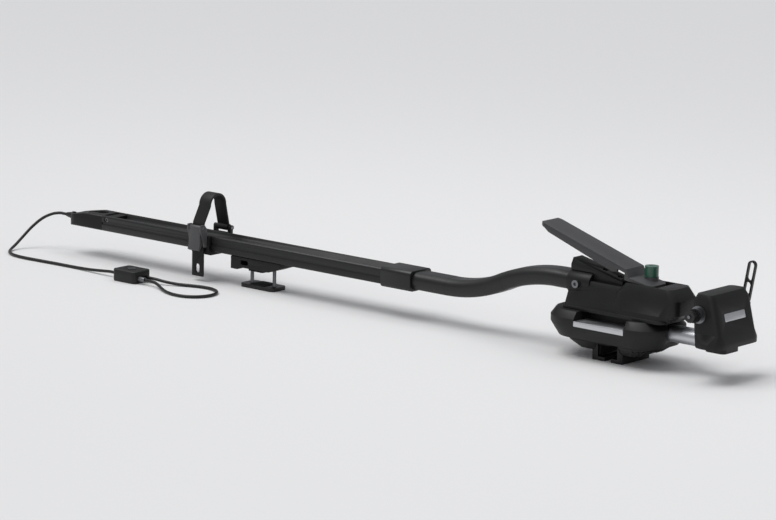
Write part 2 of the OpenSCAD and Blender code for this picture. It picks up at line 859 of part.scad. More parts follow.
module plate_screws() {
    color([0.5, 0.51, 0.53])
        for (sx = [-1, 1], sy = [-1, 1])
            translate([sx * (plate_len / 2 - 10), sy * (base_w / 2 - plate_screw_in), 0])
                plate_screw(0);
}

module guide_plate() {
    half_l = plate_len / 2 - seat_gap;
    color([0.75, 0.76, 0.78])
        difference() {
            box([-half_l, half_l], [-base_w / 2, base_w / 2], [plate_bottom, plate_top]);
            for (s = [-1, 1])
                bar_z(plate_bottom - cut, plate_top + cut, pivot_x, s * bolt_y, bolt_d + 2 * slide_gap);
            plate_screw_holes();
        }
}

module base_pad() {
    half = throat_w / 2 - 0.5;
    color([0.06, 0.06, 0.06])
        slab([-half, half], base_w / 2 - 10, [0, pad_t], 3);
}

// Hooked claw ahead of the throat: a bow under the base, an upright and a toe
module claw_shape() {
    bow_x = base_len / 2 - 26;
    hull() {
        hull_slab([claw_face_x, bow_x], base_w / 2 - 12, [bow_top - 3, bow_top], 20);
        hull_slab([claw_face_x, bow_x - 16], base_w / 2 - 22, [-bow_d, 1 - bow_d], 16);
    }
    box([claw_face_x, claw_face_x + claw_web], [-claw_w / 2, claw_w / 2], [floor_z, bow_top]);
    slab([claw_face_x - toe_len, claw_face_x + claw_web], claw_w / 2, [floor_z, toe_top], 3);
}

module front_claw() {
    color([0.09, 0.09, 0.095])
        difference() {
            claw_shape();
            for (s = [-1, 1]) {
                bar_z(-bow_d - cut, pad_t + cut, pivot_x, s * bolt_y, bolt_d + 2 * seat_gap);
                bar_z(-bow_d - cut, nut_h - bow_d, pivot_x, s * bolt_y, 2.4 * bolt_d);
            }
            for (x = beam_bolt_x())
                bar_z(-bow_d - cut, pad_t + cut, x, 0, 16);
        }
}

module rear_claw() {
    x1 = -tongue_front;
    x0 = x1 - tongue_len;
    color([0.09, 0.09, 0.095]) {
        mirror([1, 0, 0])
            claw_shape();
        box([x0, x1], [-tongue_neck_w / 2, tongue_neck_w / 2], [bow_top - eps, tongue_neck_z + eps]);
        box([x0, x1], [-tongue_head_w / 2, tongue_head_w / 2], [tongue_neck_z, tongue_top]);
    }
}

module claw_pad() {
    x0 = claw_face_x - claw_pad_t;
    box([x0, claw_face_x], [4 - claw_w / 2, claw_w / 2 - 4], [toe_top + 2, -2]);
}

module front_claw_pad() {
    color([0.06, 0.06, 0.06])
        claw_pad();
}

module rear_claw_pad() {
    color([0.06, 0.06, 0.06])
        mirror([1, 0, 0])
            claw_pad();
}

// Eye bolts from the lever's pin down to the front claw
module draw_bolts() {
    color([0.6, 0.61, 0.63])
        for (s = [-1, 1])
            difference() {
                union() {
                    bar_y(s * bolt_y - eye_t / 2, s * bolt_y + eye_t / 2, pivot_x, pivot_z, 2 * eye_r);
                    bar_z(-bow_d, pivot_z - pin_d / 2 - 1, pivot_x, s * bolt_y, bolt_d);
                }
                bar_y(s * bolt_y - eye_t, s * bolt_y + eye_t, pivot_x, pivot_z, pin_d + 2 * run_gap);
            }
}

module draw_nuts() {
    color([0.5, 0.51, 0.53])
        for (s = [-1, 1])
            difference() {
                translate([pivot_x, s * bolt_y, -bow_d])
                    cylinder(d = 2 * bolt_d, h = nut_h, $fn = 6);
                bar_z(-bow_d - cut, nut_h, pivot_x, s * bolt_y, bolt_d + 2 * run_gap);
            }
}

module cam_block() {
    x0 = cam_block_x0();
    color([0.6, 0.61, 0.63])
        box([x0, x0 + cam_block_len], [-cam_w / 2, cam_w / 2], [slot_floor - cam_block_sink, cam_block_top]);
}

// Side outline of the lever's blade and root, whose under side clears the draw bolts' eyes
module lever_outline() {
    polygon([root_front, knee, step, tip, tip + blade_down, step + blade_down,
        knee - [step_back + 2, lever_t - 2], root_front - [0, lever_t]]);
}

// Side outline of the stiffening ribs
module rib_outline() {
    along = [-cos(lever_slope), sin(lever_slope)];
    down = [-sin(lever_slope), -cos(lever_slope)];
    start = step + 14 * along + (lever_t - 1) * down;
    end = step + (lever_len - 6) * along + (lever_t - 1) * down;
    polygon([start, end, end - 12 * along + (rib_d * 0.5) * down, start + 8 * along + rib_d * down,
        start + (rib_d * 0.6) * down]);
}

module clamp_lever() {
    half = lever_w / 2;
    color([0.27, 0.27, 0.28])
        difference() {
            union() {
                intersection() {
                    along_y(-half, half)
                        lever_outline();
                    slab([tip[0] - 4, root_front[0] + 1], half, [pivot_z - 10, tip[1] + 10], 12);
                }
                for (y = [-half, half - rib_t])
                    along_y(y, y + rib_t)
                        rib_outline();
                bar_y(-cam_w / 2, cam_w / 2, pivot_x, pivot_z - cam_offset, 2 * cam_r);
                box([pivot_x - 8, pivot_x + 8], [-cam_w / 2, cam_w / 2], [pivot_z - cam_offset, pivot_z + root_up + 1]);
                bar_z(lock_base_z, lock_collar_top, lock_x, lock_y, lock_collar_d);
            }
            bar_y(-cam_w, cam_w, pivot_x, pivot_z, pin_d + 2 * run_gap);
            bar_z(lock_base_z + 2, lock_collar_top + cut, lock_x, lock_y, lock_d + 2 * run_gap);
        }
}

module lever_pin() {
    color([0.6, 0.61, 0.63])
        bar_y(-bolt_y - eye_t / 2, bolt_y + eye_t / 2, pivot_x, pivot_z, pin_d);
}

// Lock barrel with its key slot
module lock_plug() {
    head_z = lock_collar_top + slide_gap;
    color([0.1, 0.36, 0.24])
        difference() {
            union() {
                bar_z(lock_base_z + 2 + slide_gap, head_z + eps, lock_x, lock_y, lock_d);
                bar_z(head_z, lock_top, lock_x, lock_y, lock_collar_d - 1);
            }
            box([lock_x - 5, lock_x + 5], [lock_y - 1, lock_y + 1], [lock_top - 6, lock_top + cut]);
        }
}

// Oval section of the beam, in Y and Z
module beam_section(grow) {
    rounded_rect(beam_w + 2 * grow, beam_h + 2 * grow, beam_h / 2 + grow - eps);
}

module front_beam() {
    color([0.78, 0.79, 0.8])
        difference() {
            along_x(beam_rear_x, beam_front_x)
                translate([0, beam_z])
                    beam_section(0);
            along_x(beam_rear_x - cut, beam_front_x + cut)
                translate([0, beam_z])
                    beam_section(-beam_wall);
            for (x = beam_bolt_x())
                beam_bolt(x, seat_gap);
            beam_bolt(axle_x + 6, seat_gap);
        }
}

function beam_bolt_x() = [beam_rear_x + 14];

// Bolt that comes up into the beam from below
module beam_bolt(x, gap) {
    head_z = beam_z - beam_h / 2 - 5;
    bar_z(head_z - (gap > 0 ? 12 : 0), head_z + 4, x, 0, 10 + 2 * gap);
    bar_z(head_z + 4 - eps, beam_z + 4, x, 0, 6 + 2 * gap);
}

module beam_bolts() {
    color([0.5, 0.51, 0.53]) {
        for (x = beam_bolt_x())
            beam_bolt(x, 0);
        beam_bolt(axle_x + 6, 0);
    }
}

// Block that carries the axle, with a flared foot, a boss round the beam and a front that leans back
module fork_block() {
    half = half_face - washer_t;
    waist = axle_z - block_waist;
    color([0.085, 0.085, 0.09])
        difference() {
            union() {
                hull() {
                    hull_slab([block_rear_x + 4, block_front_x + block_toe], half, [waist - 6, waist], 8);
                    hull_slab([block_rear_x, block_front_x + 3], half, [block_top - 14, block_top - 10], 9);
                    hull_slab([block_rear_x + 5, block_front_x - 3], half - 3, [block_top - 1, block_top], 9);
                }
                hull() {
                    hull_slab([block_rear_x + 6, block_foot_front_x], half + block_flare,
                        [block_foot_z, block_foot_z + 8], block_foot_r);
                    hull_slab([block_rear_x + 4, block_front_x + block_toe], half, [waist - 4, waist], 8);
                }
                slab([block_rear_x + 6, beam_front_x + 6], beam_w / 2 + 5, [block_z, waist], 8);
            }
            bar_y(-face_w, face_w, axle_x, axle_z, axle_d + 2 * seat_gap);
            along_x(block_rear_x - cut, beam_front_x + seat_gap)
                translate([0, beam_z])
                    beam_section(seat_gap);
            beam_bolt(axle_x + 6, seat_gap);
            name_plate(seat_gap, 4);
        }
}

// Bare plate that lies in the block's leaning front
module name_plate(gap, out) {
    translate([block_front_x + 8.6, 0, axle_z - 4])
        rotate([0, -name_lean, 0])
            along_x(-2, out)
                rounded_rect(name_w + 2 * gap, name_h + 2 * gap, 2);
}

module block_plate() {
    color([0.7, 0.71, 0.72])
        name_plate(0, 0.2);
}

module hub_axle() {
    end = half_face + axle_stub;
    color([0.65, 0.66, 0.68])
        difference() {
            bar_y(-end, end, axle_x, axle_z, axle_d);
            bar_y(-end - cut, end + cut, axle_x, axle_z, rod_d + 2 * run_gap);
        }
}

module dropout_washers() {
    color([0.6, 0.61, 0.63])
        for (y = [[-half_face, washer_t - half_face], [half_face - washer_t, half_face]])
            difference() {
                bar_y(y[0], y[1], axle_x, axle_z, 26);
                bar_y(y[0] - cut, y[1] + cut, axle_x, axle_z, axle_d + 2 * seat_gap);
            }
}

// Moves children to the skewer's cam pin, leaning with the loop lever
module at_cam_pin() {
    translate([axle_x, loop_y, axle_z])
        rotate([0, loop_lean, 0])
            children();
}

module skewer_rod() {
    color([0.65, 0.66, 0.68])
        difference() {
            union() {
                bar_y(-cup_y - nut_t - 2, loop_y - 2, axle_x, axle_z, rod_d);
                at_cam_pin()
                    bar_x(-3, 3, 0, 0, 2 * loop_cam_r - 1);
            }
            at_cam_pin()
                bar_x(-4, 4, 0, 0, 4 + 2 * run_gap);
        }
}

module cam_pin() {
    color([0.5, 0.51, 0.53])
        at_cam_pin()
            bar_x(-loop_w / 2, loop_w / 2, 0, 0, 4);
}

module skewer_cup() {
    color([0.08, 0.08, 0.085])
        difference() {
            union() {
                bar_y(cup_y, cup_y + cup_t - 2, axle_x, axle_z, 22);
                bar_y(cup_y, cup_y + cup_t, axle_x, axle_z, 17);
            }
            bar_y(cup_y - cut, cup_y + cup_t + cut, axle_x, axle_z, rod_d + 2 * run_gap);
        }
}

// Knurled nut on the near end of the skewer
module skewer_nut() {
    y0 = -cup_y - nut_t;
    color([0.09, 0.09, 0.095])
        difference() {
            union() {
                bar_y(y0, -cup_y - 4, axle_x, axle_z, 18);
                bar_y(-cup_y - 4, -cup_y, axle_x, axle_z, 21);
            }
            bar_y(y0 - cut, -cup_y + cut, axle_x, axle_z, rod_d + 2 * run_gap);
            for (a = [0 : 30 : 330])
                translate([axle_x, 0, axle_z])
                    rotate([0, a, 0])
                        bar_y(y0 - cut, -cup_y - 4, 9.8, 0, 3);
        }
}

// Opening in the loop lever between two heights
module loop_window(z0, z1) {
    w = loop_w - 2 * loop_wall;
    along_y(-loop_t, loop_t)
        translate([0, (z0 + z1) / 2])
            rounded_rect(w, z1 - z0, w / 2 - eps);
}

// Open loop lever with two cam cheeks that straddle the rod's eye
module skewer_lever() {
    color([0.16, 0.16, 0.17])
        at_cam_pin()
            difference() {
                union() {
                    for (x = [[-loop_w / 2, -3 - slide_gap], [3 + slide_gap, loop_w / 2]])
                        bar_x(x[0], x[1], -loop_cam_offset, 0, 2 * loop_cam_r);
                    difference() {
                        along_y(-loop_t / 2, loop_t / 2)
                            translate([0, loop_len / 2])
                                rounded_rect(loop_w, loop_len, loop_w / 2 - eps);
                        box([-loop_w, loop_w], [-loop_t, loop_t], [-1, 3]);
                        loop_window(loop_root, loop_bar_z);
                        loop_window(loop_bar_z + loop_bar, loop_len - loop_wall);
                    }
                }
                bar_x(-3 - slide_gap, 3 + slide_gap, 0, 0, 2 * loop_cam_r);
                bar_x(-loop_w, loop_w, 0, 0, 4 + 2 * run_gap);
            }
}

// Foot of the rail on the rear seat
module rear_bracket() {
    half = bracket_len / 2;
    z0 = rear_pad_t;
    color([0.1, 0.1, 0.105])
        difference() {
            along_y(-bracket_w / 2, bracket_w / 2)
                polygon([[rear_x - half, bracket_top], [rear_x - half, z0 - 4], [rear_x - half + 14, z0 - 4],
                    [rear_x - half + 20, z0], [rear_x + half - 24, z0], [rear_x + half, bracket_top - 8],
                    [rear_x + half, bracket_top]]);
            translate([rear_x - half + 29, 0, (z0 + bracket_top) / 2])
                rotate([90, 0, 0])
                    linear_extrude(2 * bracket_w, center = true)
                        rounded_rect(16, 8, 3);
            for (s = [-1, 1])
                bar_z(z0 - 5, bracket_top + cut, rear_x + s * rear_bolt_x, 0, rear_bolt_d + 2 * seat_gap);
        }
}

module rear_pad() {
    half = throat_w / 2;
    color([0.06, 0.06, 0.06])
        slab([rear_x - half, rear_x + half], bracket_w / 2 - 1, [0, rear_pad_t], 3);
}

// Bolts that hang from the slot nuts and carry the lower plate
module rear_bolts() {
    color([0.55, 0.56, 0.58])
        for (s = [-1, 1])
            translate([rear_x + s * rear_bolt_x, 0, 0]) {
                bar_z(floor_z + 0.5, floor_z + 4, 0, 0, 2 * rear_bolt_d);
                bar_z(floor_z + 4 - eps, slot_nut_z + slot_nut_h, 0, 0, rear_bolt_d);
            }
}

module slot_nuts() {
    color([0.5, 0.51, 0.53])
        for (s = [-1, 1])
            difference() {
                box([rear_x + s * rear_bolt_x - 9, rear_x + s * rear_bolt_x + 9],
                    [slide_gap - slot_w / 2, slot_w / 2 - slide_gap], [slot_nut_z, slot_nut_z + slot_nut_h]);
                bar_z(slot_nut_z - cut, slot_nut_z + slot_h, rear_x + s * rear_bolt_x, 0, rear_bolt_d + 2 * run_gap);
            }
}

module rear_clamp_plate() {
    half = rear_bolt_x + 12;
    color([0.14, 0.14, 0.15])
        difference() {
            slab([rear_x - half, rear_x + half], bracket_w / 2 - 3, [floor_z, floor_z + rear_plate_t], 8);
            for (s = [-1, 1]) {
                bar_z(floor_z - cut, floor_z + 4, rear_x + s * rear_bolt_x, 0, 2 * rear_bolt_d + 2 * seat_gap);
                bar_z(floor_z, floor_z + rear_plate_t + cut, rear_x + s * rear_bolt_x, 0, rear_bolt_d + 2 * seat_gap);
            }
        }
}

module rear_plate_pad() {
    half = throat_w / 2;
    color([0.06, 0.06, 0.06])
        slab([rear_x - half, rear_x + half], bracket_w / 2 - 4, [toe_top, toe_top + 0.8], 3);
}

// Saddle that hugs the rail and carries the strap
module strap_saddle() {
    half = saddle_len / 2;
    low = rail_z - slide_gap - saddle_wall;
    color([0.1, 0.1, 0.105])
        difference() {
            union() {
                along_x(strap_x - half, strap_x + half)
                    difference() {
                        translate([0, (low + rail_top) / 2])
                            rounded_rect(2 * saddle_out, rail_top - low, 6);
                        translate([0, rail_mid + rail_h])
                            rounded_rect(2 * saddle_in, 3 * rail_h + 2 * slide_gap, rail_edge_r);
                    }
                for (x = [[-half, -cheek_in], [cheek_in, half]])
                    along_x(strap_x + x[0], strap_x + x[1]) {
                        translate([saddle_in, rail_top - 10])
                            square([saddle_wall, 10 + anchor_z - rail_top]);
                        translate([anchor_y, anchor_z])
                            circle(anchor_y - saddle_in);
                    }
            }
            bar_x(strap_x - half - cut, strap_x + half + cut, anchor_y, anchor_z, strap_pin_d + 2 * seat_gap);
            box([strap_x - cheek_in, strap_x + cheek_in], [saddle_in - 1, saddle_out + 1], [anchor_z - anchor_r - 1, rail_top + 9]);
        }
}

// Path of the strap in Y and Z, seen along X: far eye, arch, buckle and hanging end
module strap_outline() {
    in_r = arch_r - strap_t;
    difference() {
        translate([0, arch_z])
            circle(arch_r);
        translate([0, arch_z])
            circle(in_r);
        translate([-arch_r - cut, arch_z - arch_r - cut])
            square([2 * arch_r + 2 * cut, arch_r + cut]);
    }
    polygon([[anchor_y - strap_t / 2, anchor_z + 1], [anchor_y + strap_t / 2, anchor_z + 1], [arch_r, arch_z],
        [arch_r - 0.2, arch_z + 1], [in_r + 0.2, arch_z + 1], [in_r, arch_z]]);
    translate([anchor_y, anchor_z])
        circle(anchor_r);
    polygon([[-in_r, arch_z], [-in_r - 0.2, arch_z + 1], [0.2 - arch_r, arch_z + 1], [-arch_r, arch_z],
        [-strap_in_y - strap_t, buckle_pin_z + 4], [-strap_in_y - strap_t, buckle_pin_z], [-strap_in_y, buckle_pin_z]]);
    translate([-strap_in_y - strap_t, tail_z])
        square([strap_t, buckle_pin_z + 4 - tail_z]);
    for (z = [tail_z + 26 : 6 : rail_z + 6])
        translate([-strap_in_y - strap_t - 1, z])
            square([1 + eps, 2.5]);
}

module wheel_strap() {
    half = strap_w / 2;
    color([0.13, 0.13, 0.135])
        difference() {
            along_x(strap_x - half, strap_x + half)
                strap_outline();
            bar_x(strap_x - strap_w, strap_x + strap_w, anchor_y, anchor_z, strap_pin_d + 2 * seat_gap);
            along_y(-strap_in_y - 2 * strap_t, -strap_in_y + strap_t)
                translate([strap_x, tail_z + 13])
                    rounded_rect(9, 15, 4.4);
        }
}

module strap_anchor_pin() {
    half = saddle_len / 2;
    color([0.6, 0.61, 0.63])
        bar_x(strap_x - half, strap_x + half, anchor_y, anchor_z, strap_pin_d);
}

// Grey buckle frame: a back plate on the saddle and two cheeks
module buckle_body() {
    low = rail_z + 8;
    high = rail_top + 19;
    color([0.36, 0.36, 0.37])
        difference() {
            union() {
                box([strap_x - cheek_in - cheek_t, strap_x + cheek_in + cheek_t],
                    [-saddle_out - buckle_back_t, -saddle_out], [low, high - 7]);
                for (x = [-cheek_in - cheek_t, cheek_in])
                    along_x(strap_x + x, strap_x + x + cheek_t)
                        polygon([[-saddle_out, low], [-saddle_out, high - 7], [-saddle_out - 6, high], [-buckle_pin_y - 4, high],
                            [-buckle_pin_y - 5, high - 8], [-saddle_out - 6, low]]);
            }
            bar_x(strap_x - strap_w, strap_x + strap_w, -buckle_pin_y, buckle_pin_z, strap_pin_d + 2 * seat_gap);
        }
}

module buckle_pin() {
    half = cheek_in + cheek_t;
    color([0.6, 0.61, 0.63])
        bar_x(strap_x - half, strap_x + half, -buckle_pin_y, buckle_pin_z, strap_pin_d);
}

// Ratchet lever that hangs over the strap
module buckle_lever() {
    half = cheek_in - slide_gap;
    y0 = strap_in_y + strap_t + 1 + slide_gap;
    color([0.42, 0.42, 0.43])
        difference() {
            along_x(strap_x - half, strap_x + half) {
                translate([-buckle_pin_y, buckle_pin_z])
                    circle(3.8);
                polygon([[-y0, buckle_pin_z], [-buckle_pin_y - 3.6, buckle_pin_z + 1], [-buckle_pin_y - 4.4, rail_z + 12],
                    [-buckle_pin_y - 7, rail_z + 4], [-buckle_pin_y - 3.5, rail_z + 2], [-y0, rail_z + 12]]);
            }
            bar_x(strap_x - strap_w, strap_x + strap_w, -buckle_pin_y, buckle_pin_z, strap_pin_d + 2 * run_gap);
        }
}

// Strain relief in the rear end cap
module cable_gland() {
    color([0.07, 0.07, 0.075]) {
        bar_x(cap_rear_x, cap_rear_x + 20, 0, gland_z, 11 - 2 * seat_gap);
        bar_x(cap_rear_x - 4, cap_rear_x + eps, 0, gland_z, 14);
        translate([gland_x, 0, gland_z])
            rotate([0, 90, 0])
                cylinder(d1 = cable_d + 2, d2 = 12, h = gland_len - 4 + eps);
    }
}

// Smooth curve through a list of points, with steps on each span
function spline_point(p, i, t) =
    let (a = p[max(i - 1, 0)], b = p[i], c = p[i + 1], d = p[min(i + 2, len(p) - 1)])
    0.5 * (2 * b + (c - a) * t + (2 * a - 5 * b + 4 * c - d) * t * t + (3 * b - a - 3 * c + d) * t * t * t);
function spline(p, steps) = concat(
    [for (i = [0 : len(p) - 2], k = [0 : steps - 1]) spline_point(p, i, k / steps)], [p[len(p) - 1]]);
function unit(v) = v / norm(v);

// Tube of one polyhedron along a route
module tube(route, d, sides, steps) {
    path = spline(route, steps);
    n = len(path);
    rings = [for (i = [0 : n - 1])
        let (t = unit(path[min(i + 1, n - 1)] - path[max(i - 1, 0)]),
             side = unit(cross([0, 0, 1], t)), up = cross(t, side))
        for (k = [0 : sides - 1])
            path[i] + d / 2 * (cos(360 * k / sides) * side + sin(360 * k / sides) * up)];
    walls = [for (i = [0 : n - 2], k = [0 : sides - 1])
        let (a = i * sides + k, b = i * sides + (k + 1) % sides)
        each [[a, a + sides, b], [b, a + sides, b + sides]]];
    first = [for (k = [1 : sides - 2]) [0, k, k + 1]];
    last = [for (k = [1 : sides - 2]) [(n - 1) * sides, (n - 1) * sides + k + 1, (n - 1) * sides + k]];
    polyhedron(rings, concat(walls, first, last));
}

module lock_cable() {
    color([0.05, 0.05, 0.055])
        tube(cable_route, cable_d, cable_sides, cable_steps);
}

module lock_loop() {
    color([0.05, 0.05, 0.055])
        tube(loop_route, cable_d, cable_sides, cable_steps);
}

// Case of the cable lock, lying flat
module cable_lock_body() {
    color([0.08, 0.08, 0.085])
        difference() {
            translate([lock_x0 + lock_len / 2, lock_y0, floor_z])
                linear_extrude(lock_h)
                    rounded_rect(lock_len, lock_w, 7);
            bar_z(floor_z + 6, floor_z + lock_h + cut, lock_x0 + lock_len / 2, lock_y0, barrel_d + 2 * run_gap);
        }
}

module cable_lock_barrel() {
    x = lock_x0 + lock_len / 2;
    z1 = floor_z + lock_h + 1;
    color([0.6, 0.61, 0.63])
        difference() {
            bar_z(floor_z + 6 + slide_gap, z1, x, lock_y0, barrel_d);
            box([x - 4, x + 4], [lock_y0 - 0.9, lock_y0 + 0.9], [z1 - 3, z1 + cut]);
        }
}

// Metal end of the loop, plugged into the lock's case
module cable_ferrule() {
    color([0.6, 0.61, 0.63])
        bar_x(lock_x1, loop_end_x, lock_y0 - loop_side, lock_entry_z, cable_d + 3);
}

tray_rail();
rail_end_cap();
cap_screws();
joint_sleeve();
joint_screws();
neck_tube();
head_body();
head_cheeks();
head_nose();
head_cover();
cover_screws();
neck_bolt();
base_body();
guide_plate();
plate_screws();
base_pad();
front_claw();
front_claw_pad();
rear_claw();
rear_claw_pad();
draw_bolts();
draw_nuts();
cam_block();
clamp_lever();
lever_pin();
lock_plug();
front_beam();
beam_bolts();
fork_block();
block_plate();
hub_axle();
dropout_washers();
skewer_rod();
cam_pin();
skewer_cup();
skewer_nut();
skewer_lever();
rear_bracket();
rear_pad();
rear_bolts();
slot_nuts();
rear_clamp_plate();
rear_plate_pad();
strap_saddle();
wheel_strap();
strap_anchor_pin();
buckle_body();
buckle_pin();
buckle_lever();
cable_gland();
lock_cable();
lock_loop();
cable_lock_body();
cable_lock_barrel();
cable_ferrule();
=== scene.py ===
import json
import math

import bmesh
import bpy
from mathutils import Matrix, Vector


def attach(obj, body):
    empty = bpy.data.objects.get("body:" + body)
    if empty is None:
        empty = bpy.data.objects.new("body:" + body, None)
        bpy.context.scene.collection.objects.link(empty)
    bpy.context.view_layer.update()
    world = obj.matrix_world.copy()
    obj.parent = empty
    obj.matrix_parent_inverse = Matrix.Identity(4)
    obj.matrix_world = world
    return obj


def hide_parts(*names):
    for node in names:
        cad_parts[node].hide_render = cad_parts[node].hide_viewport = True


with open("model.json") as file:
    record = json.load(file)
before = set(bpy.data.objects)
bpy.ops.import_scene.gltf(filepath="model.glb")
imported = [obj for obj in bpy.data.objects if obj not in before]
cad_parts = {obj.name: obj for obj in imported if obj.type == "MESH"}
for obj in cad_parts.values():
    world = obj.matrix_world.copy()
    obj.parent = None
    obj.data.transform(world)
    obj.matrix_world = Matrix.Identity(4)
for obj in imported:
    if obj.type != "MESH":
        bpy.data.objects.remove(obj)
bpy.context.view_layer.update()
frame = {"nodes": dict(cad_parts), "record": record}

# Places and sizes of the carrier, in metres. +X is the fork end, +Y the far side, +Z up.
MM = 0.001
FLOOR_Z = -0.029
# Wheel strap: its middle along X, its section, the arch, the far pin in Y and Z, the buckle and the end
STRAP_X = -0.831
STRAP_W = 0.024
STRAP_T = 0.0035
STRAP_EDGE = 0.0005
ARCH_R = 0.020
ARCH_Z = 0.093
ANCHOR = (0.0273, 0.053)
EYE_INNER_R = 0.00266
EYE_OUTER_R = 0.0055
EYE_INSET = 0.0003
STRAP_IN_Y = 0.0318
BUCKLE_Z = 0.060
TAIL_Z = -0.021
# Slot in the strap's end: radius of its round ends, half its straight part and its height above the end
SLOT_R = 0.0044
SLOT_HALF = 0.0031
SLOT_UP = 0.013
# Lock cable: its gland, the lock's case, the ferrule and the cable's middle where it lies on the floor
CABLE_D = 0.005
CABLE_SIDES = 14
GLAND = (-1.164, 0.0, 0.031)
LOCK_REAR = (-0.930, -0.112, -0.021)
LOCK_FRONT_X = -0.880
LOOP_SIDE = 0.009
FERRULE_END_X = -0.866
CABLE_Z = -0.0263
# Rounded edges of the head and of screws, and the head's lap over its cheeks and nose
HEAD_EDGE = 0.0022
HEAD_LAP = 0.0006
SCREW_EDGE = 0.0002
# Corners nearer than this are one corner
WELD = 4e-6


# Finishes

def socket(tree, name, kind, out=False, value=None):
    """A named socket on a node group."""
    made = tree.interface.new_socket(name=name, in_out="OUTPUT" if out else "INPUT", socket_type=kind)
    if value is not None:
        made.default_value = value
    return made


def shader_group(name, inputs, outputs):
    """An empty shader node group with its input and output nodes."""
    tree = bpy.data.node_groups.new(name, "ShaderNodeTree")
    for label, kind, value in inputs:
        socket(tree, label, kind, value=value)
    for label, kind in outputs:
        socket(tree, label, kind, out=True)
    return tree, tree.nodes.new("NodeGroupInput"), tree.nodes.new("NodeGroupOutput")


def noise(tree, vector, scale, detail=3.0, roughness=0.55):
    node = tree.nodes.new("ShaderNodeTexNoise")
    node.inputs["Detail"].default_value = detail
    node.inputs["Roughness"].default_value = roughness
    tree.links.new(vector, node.inputs["Vector"])
    if isinstance(scale, (int, float)):
        node.inputs["Scale"].default_value = scale
    else:
        tree.links.new(scale, node.inputs["Scale"])
    return node.outputs["Fac"]


def math_node(tree, operation, a, b):
    node = tree.nodes.new("ShaderNodeMath")
    node.operation = operation
    for slot, value in zip(node.inputs, (a, b)):
        if isinstance(value, (int, float)):
            slot.default_value = value
        else:
            tree.links.new(value, slot)
    return node.outputs[0]


def blend(tree, a, share_a, b, share_b):
    """The sum of two values, each times its share."""
    part_a = math_node(tree, "MULTIPLY", a, share_a)
    part_b = math_node(tree, "MULTIPLY", b, share_b)
    return math_node(tree, "ADD", part_a, part_b)


def map_range(tree, value, low, high, to_low, to_high):
    node = tree.nodes.new("ShaderNodeMapRange")
    tree.links.new(value, node.inputs["Value"])
    for label, number in (("From Min", low), ("From Max", high), ("To Min", to_low), ("To Max", to_high)):
        if isinstance(number, (int, float)):
            node.inputs[label].default_value = number
        else:
            tree.links.new(number, node.inputs[label])
    return node.outputs["Result"]


def make_grain_group():
    """Pebbled surface of moulded plastic and powder coating."""
    tree, inside, outside = shader_group(
        "moulded_grain",
        [("Vector", "NodeSocketVector", None), ("Scale", "NodeSocketFloat", 900.0)],
        [("Height", "NodeSocketFloat"), ("Tone", "NodeSocketFloat")])
    pebble = tree.nodes.new("ShaderNodeTexVoronoi")
    pebble.feature = "SMOOTH_F1"
    tree.links.new(inside.outputs["Vector"], pebble.inputs["Vector"])
    tree.links.new(inside.outputs["Scale"], pebble.inputs["Scale"])
    fine_scale = math_node(tree, "MULTIPLY", inside.outputs["Scale"], 2.3)
    fine = noise(tree, inside.outputs["Vector"], fine_scale)
    cloud = noise(tree, inside.outputs["Vector"], 22.0, detail=4.0)
    height = math_node(tree, "ADD", pebble.outputs["Distance"], math_node(tree, "MULTIPLY", fine, 0.5))
    tree.links.new(height, outside.inputs["Height"])
    tree.links.new(blend(tree, cloud, 0.7, fine, 0.3), outside.inputs["Tone"])
    return tree


def make_scuff_group():
    """Sparse rubbed streaks from handling, as a mask."""
    tree, inside, outside = shader_group(
        "handling_scuffs",
        [("Vector", "NodeSocketVector", None), ("Scale", "NodeSocketFloat", 30.0),
         ("Spread", "NodeSocketFloat", 0.62)],
        [("Mask", "NodeSocketFloat")])
    stretch = tree.nodes.new("ShaderNodeMapping")
    stretch.inputs["Scale"].default_value = (1.0, 4.0, 4.0)
    stretch.inputs["Rotation"].default_value = (0.3, 0.2, 0.5)
    tree.links.new(inside.outputs["Vector"], stretch.inputs["Vector"])
    streak = noise(tree, stretch.outputs["Vector"], inside.outputs["Scale"], detail=6.0, roughness=0.7)
    patch = noise(tree, inside.outputs["Vector"], 9.0, detail=2.0)
    both = math_node(tree, "MULTIPLY", math_node(tree, "ADD", streak, patch), 0.5)
    top = math_node(tree, "ADD", inside.outputs["Spread"], 0.09)
    mask = map_range(tree, both, inside.outputs["Spread"], top, 0.0, 1.0)
    tree.links.new(mask, outside.inputs["Mask"])
    return tree


def make_brush_group():
    """Fine parallel lines of drawn or brushed metal, along X."""
    tree, inside, outside = shader_group(
        "drawn_lines",
        [("Vector", "NodeSocketVector", None), ("Scale", "NodeSocketFloat", 700.0)],
        [("Height", "NodeSocketFloat"), ("Tone", "NodeSocketFloat")])
    stretch = tree.nodes.new("ShaderNodeMapping")
    stretch.inputs["Scale"].default_value = (0.02, 1.0, 1.0)
    tree.links.new(inside.outputs["Vector"], stretch.inputs["Vector"])
    lines = noise(tree, stretch.outputs["Vector"], inside.outputs["Scale"], detail=4.0, roughness=0.65)
    cloud = noise(tree, inside.outputs["Vector"], 35.0, detail=3.0)
    tree.links.new(lines, outside.inputs["Height"])
    tree.links.new(blend(tree, lines, 0.6, cloud, 0.4), outside.inputs["Tone"])
    return tree


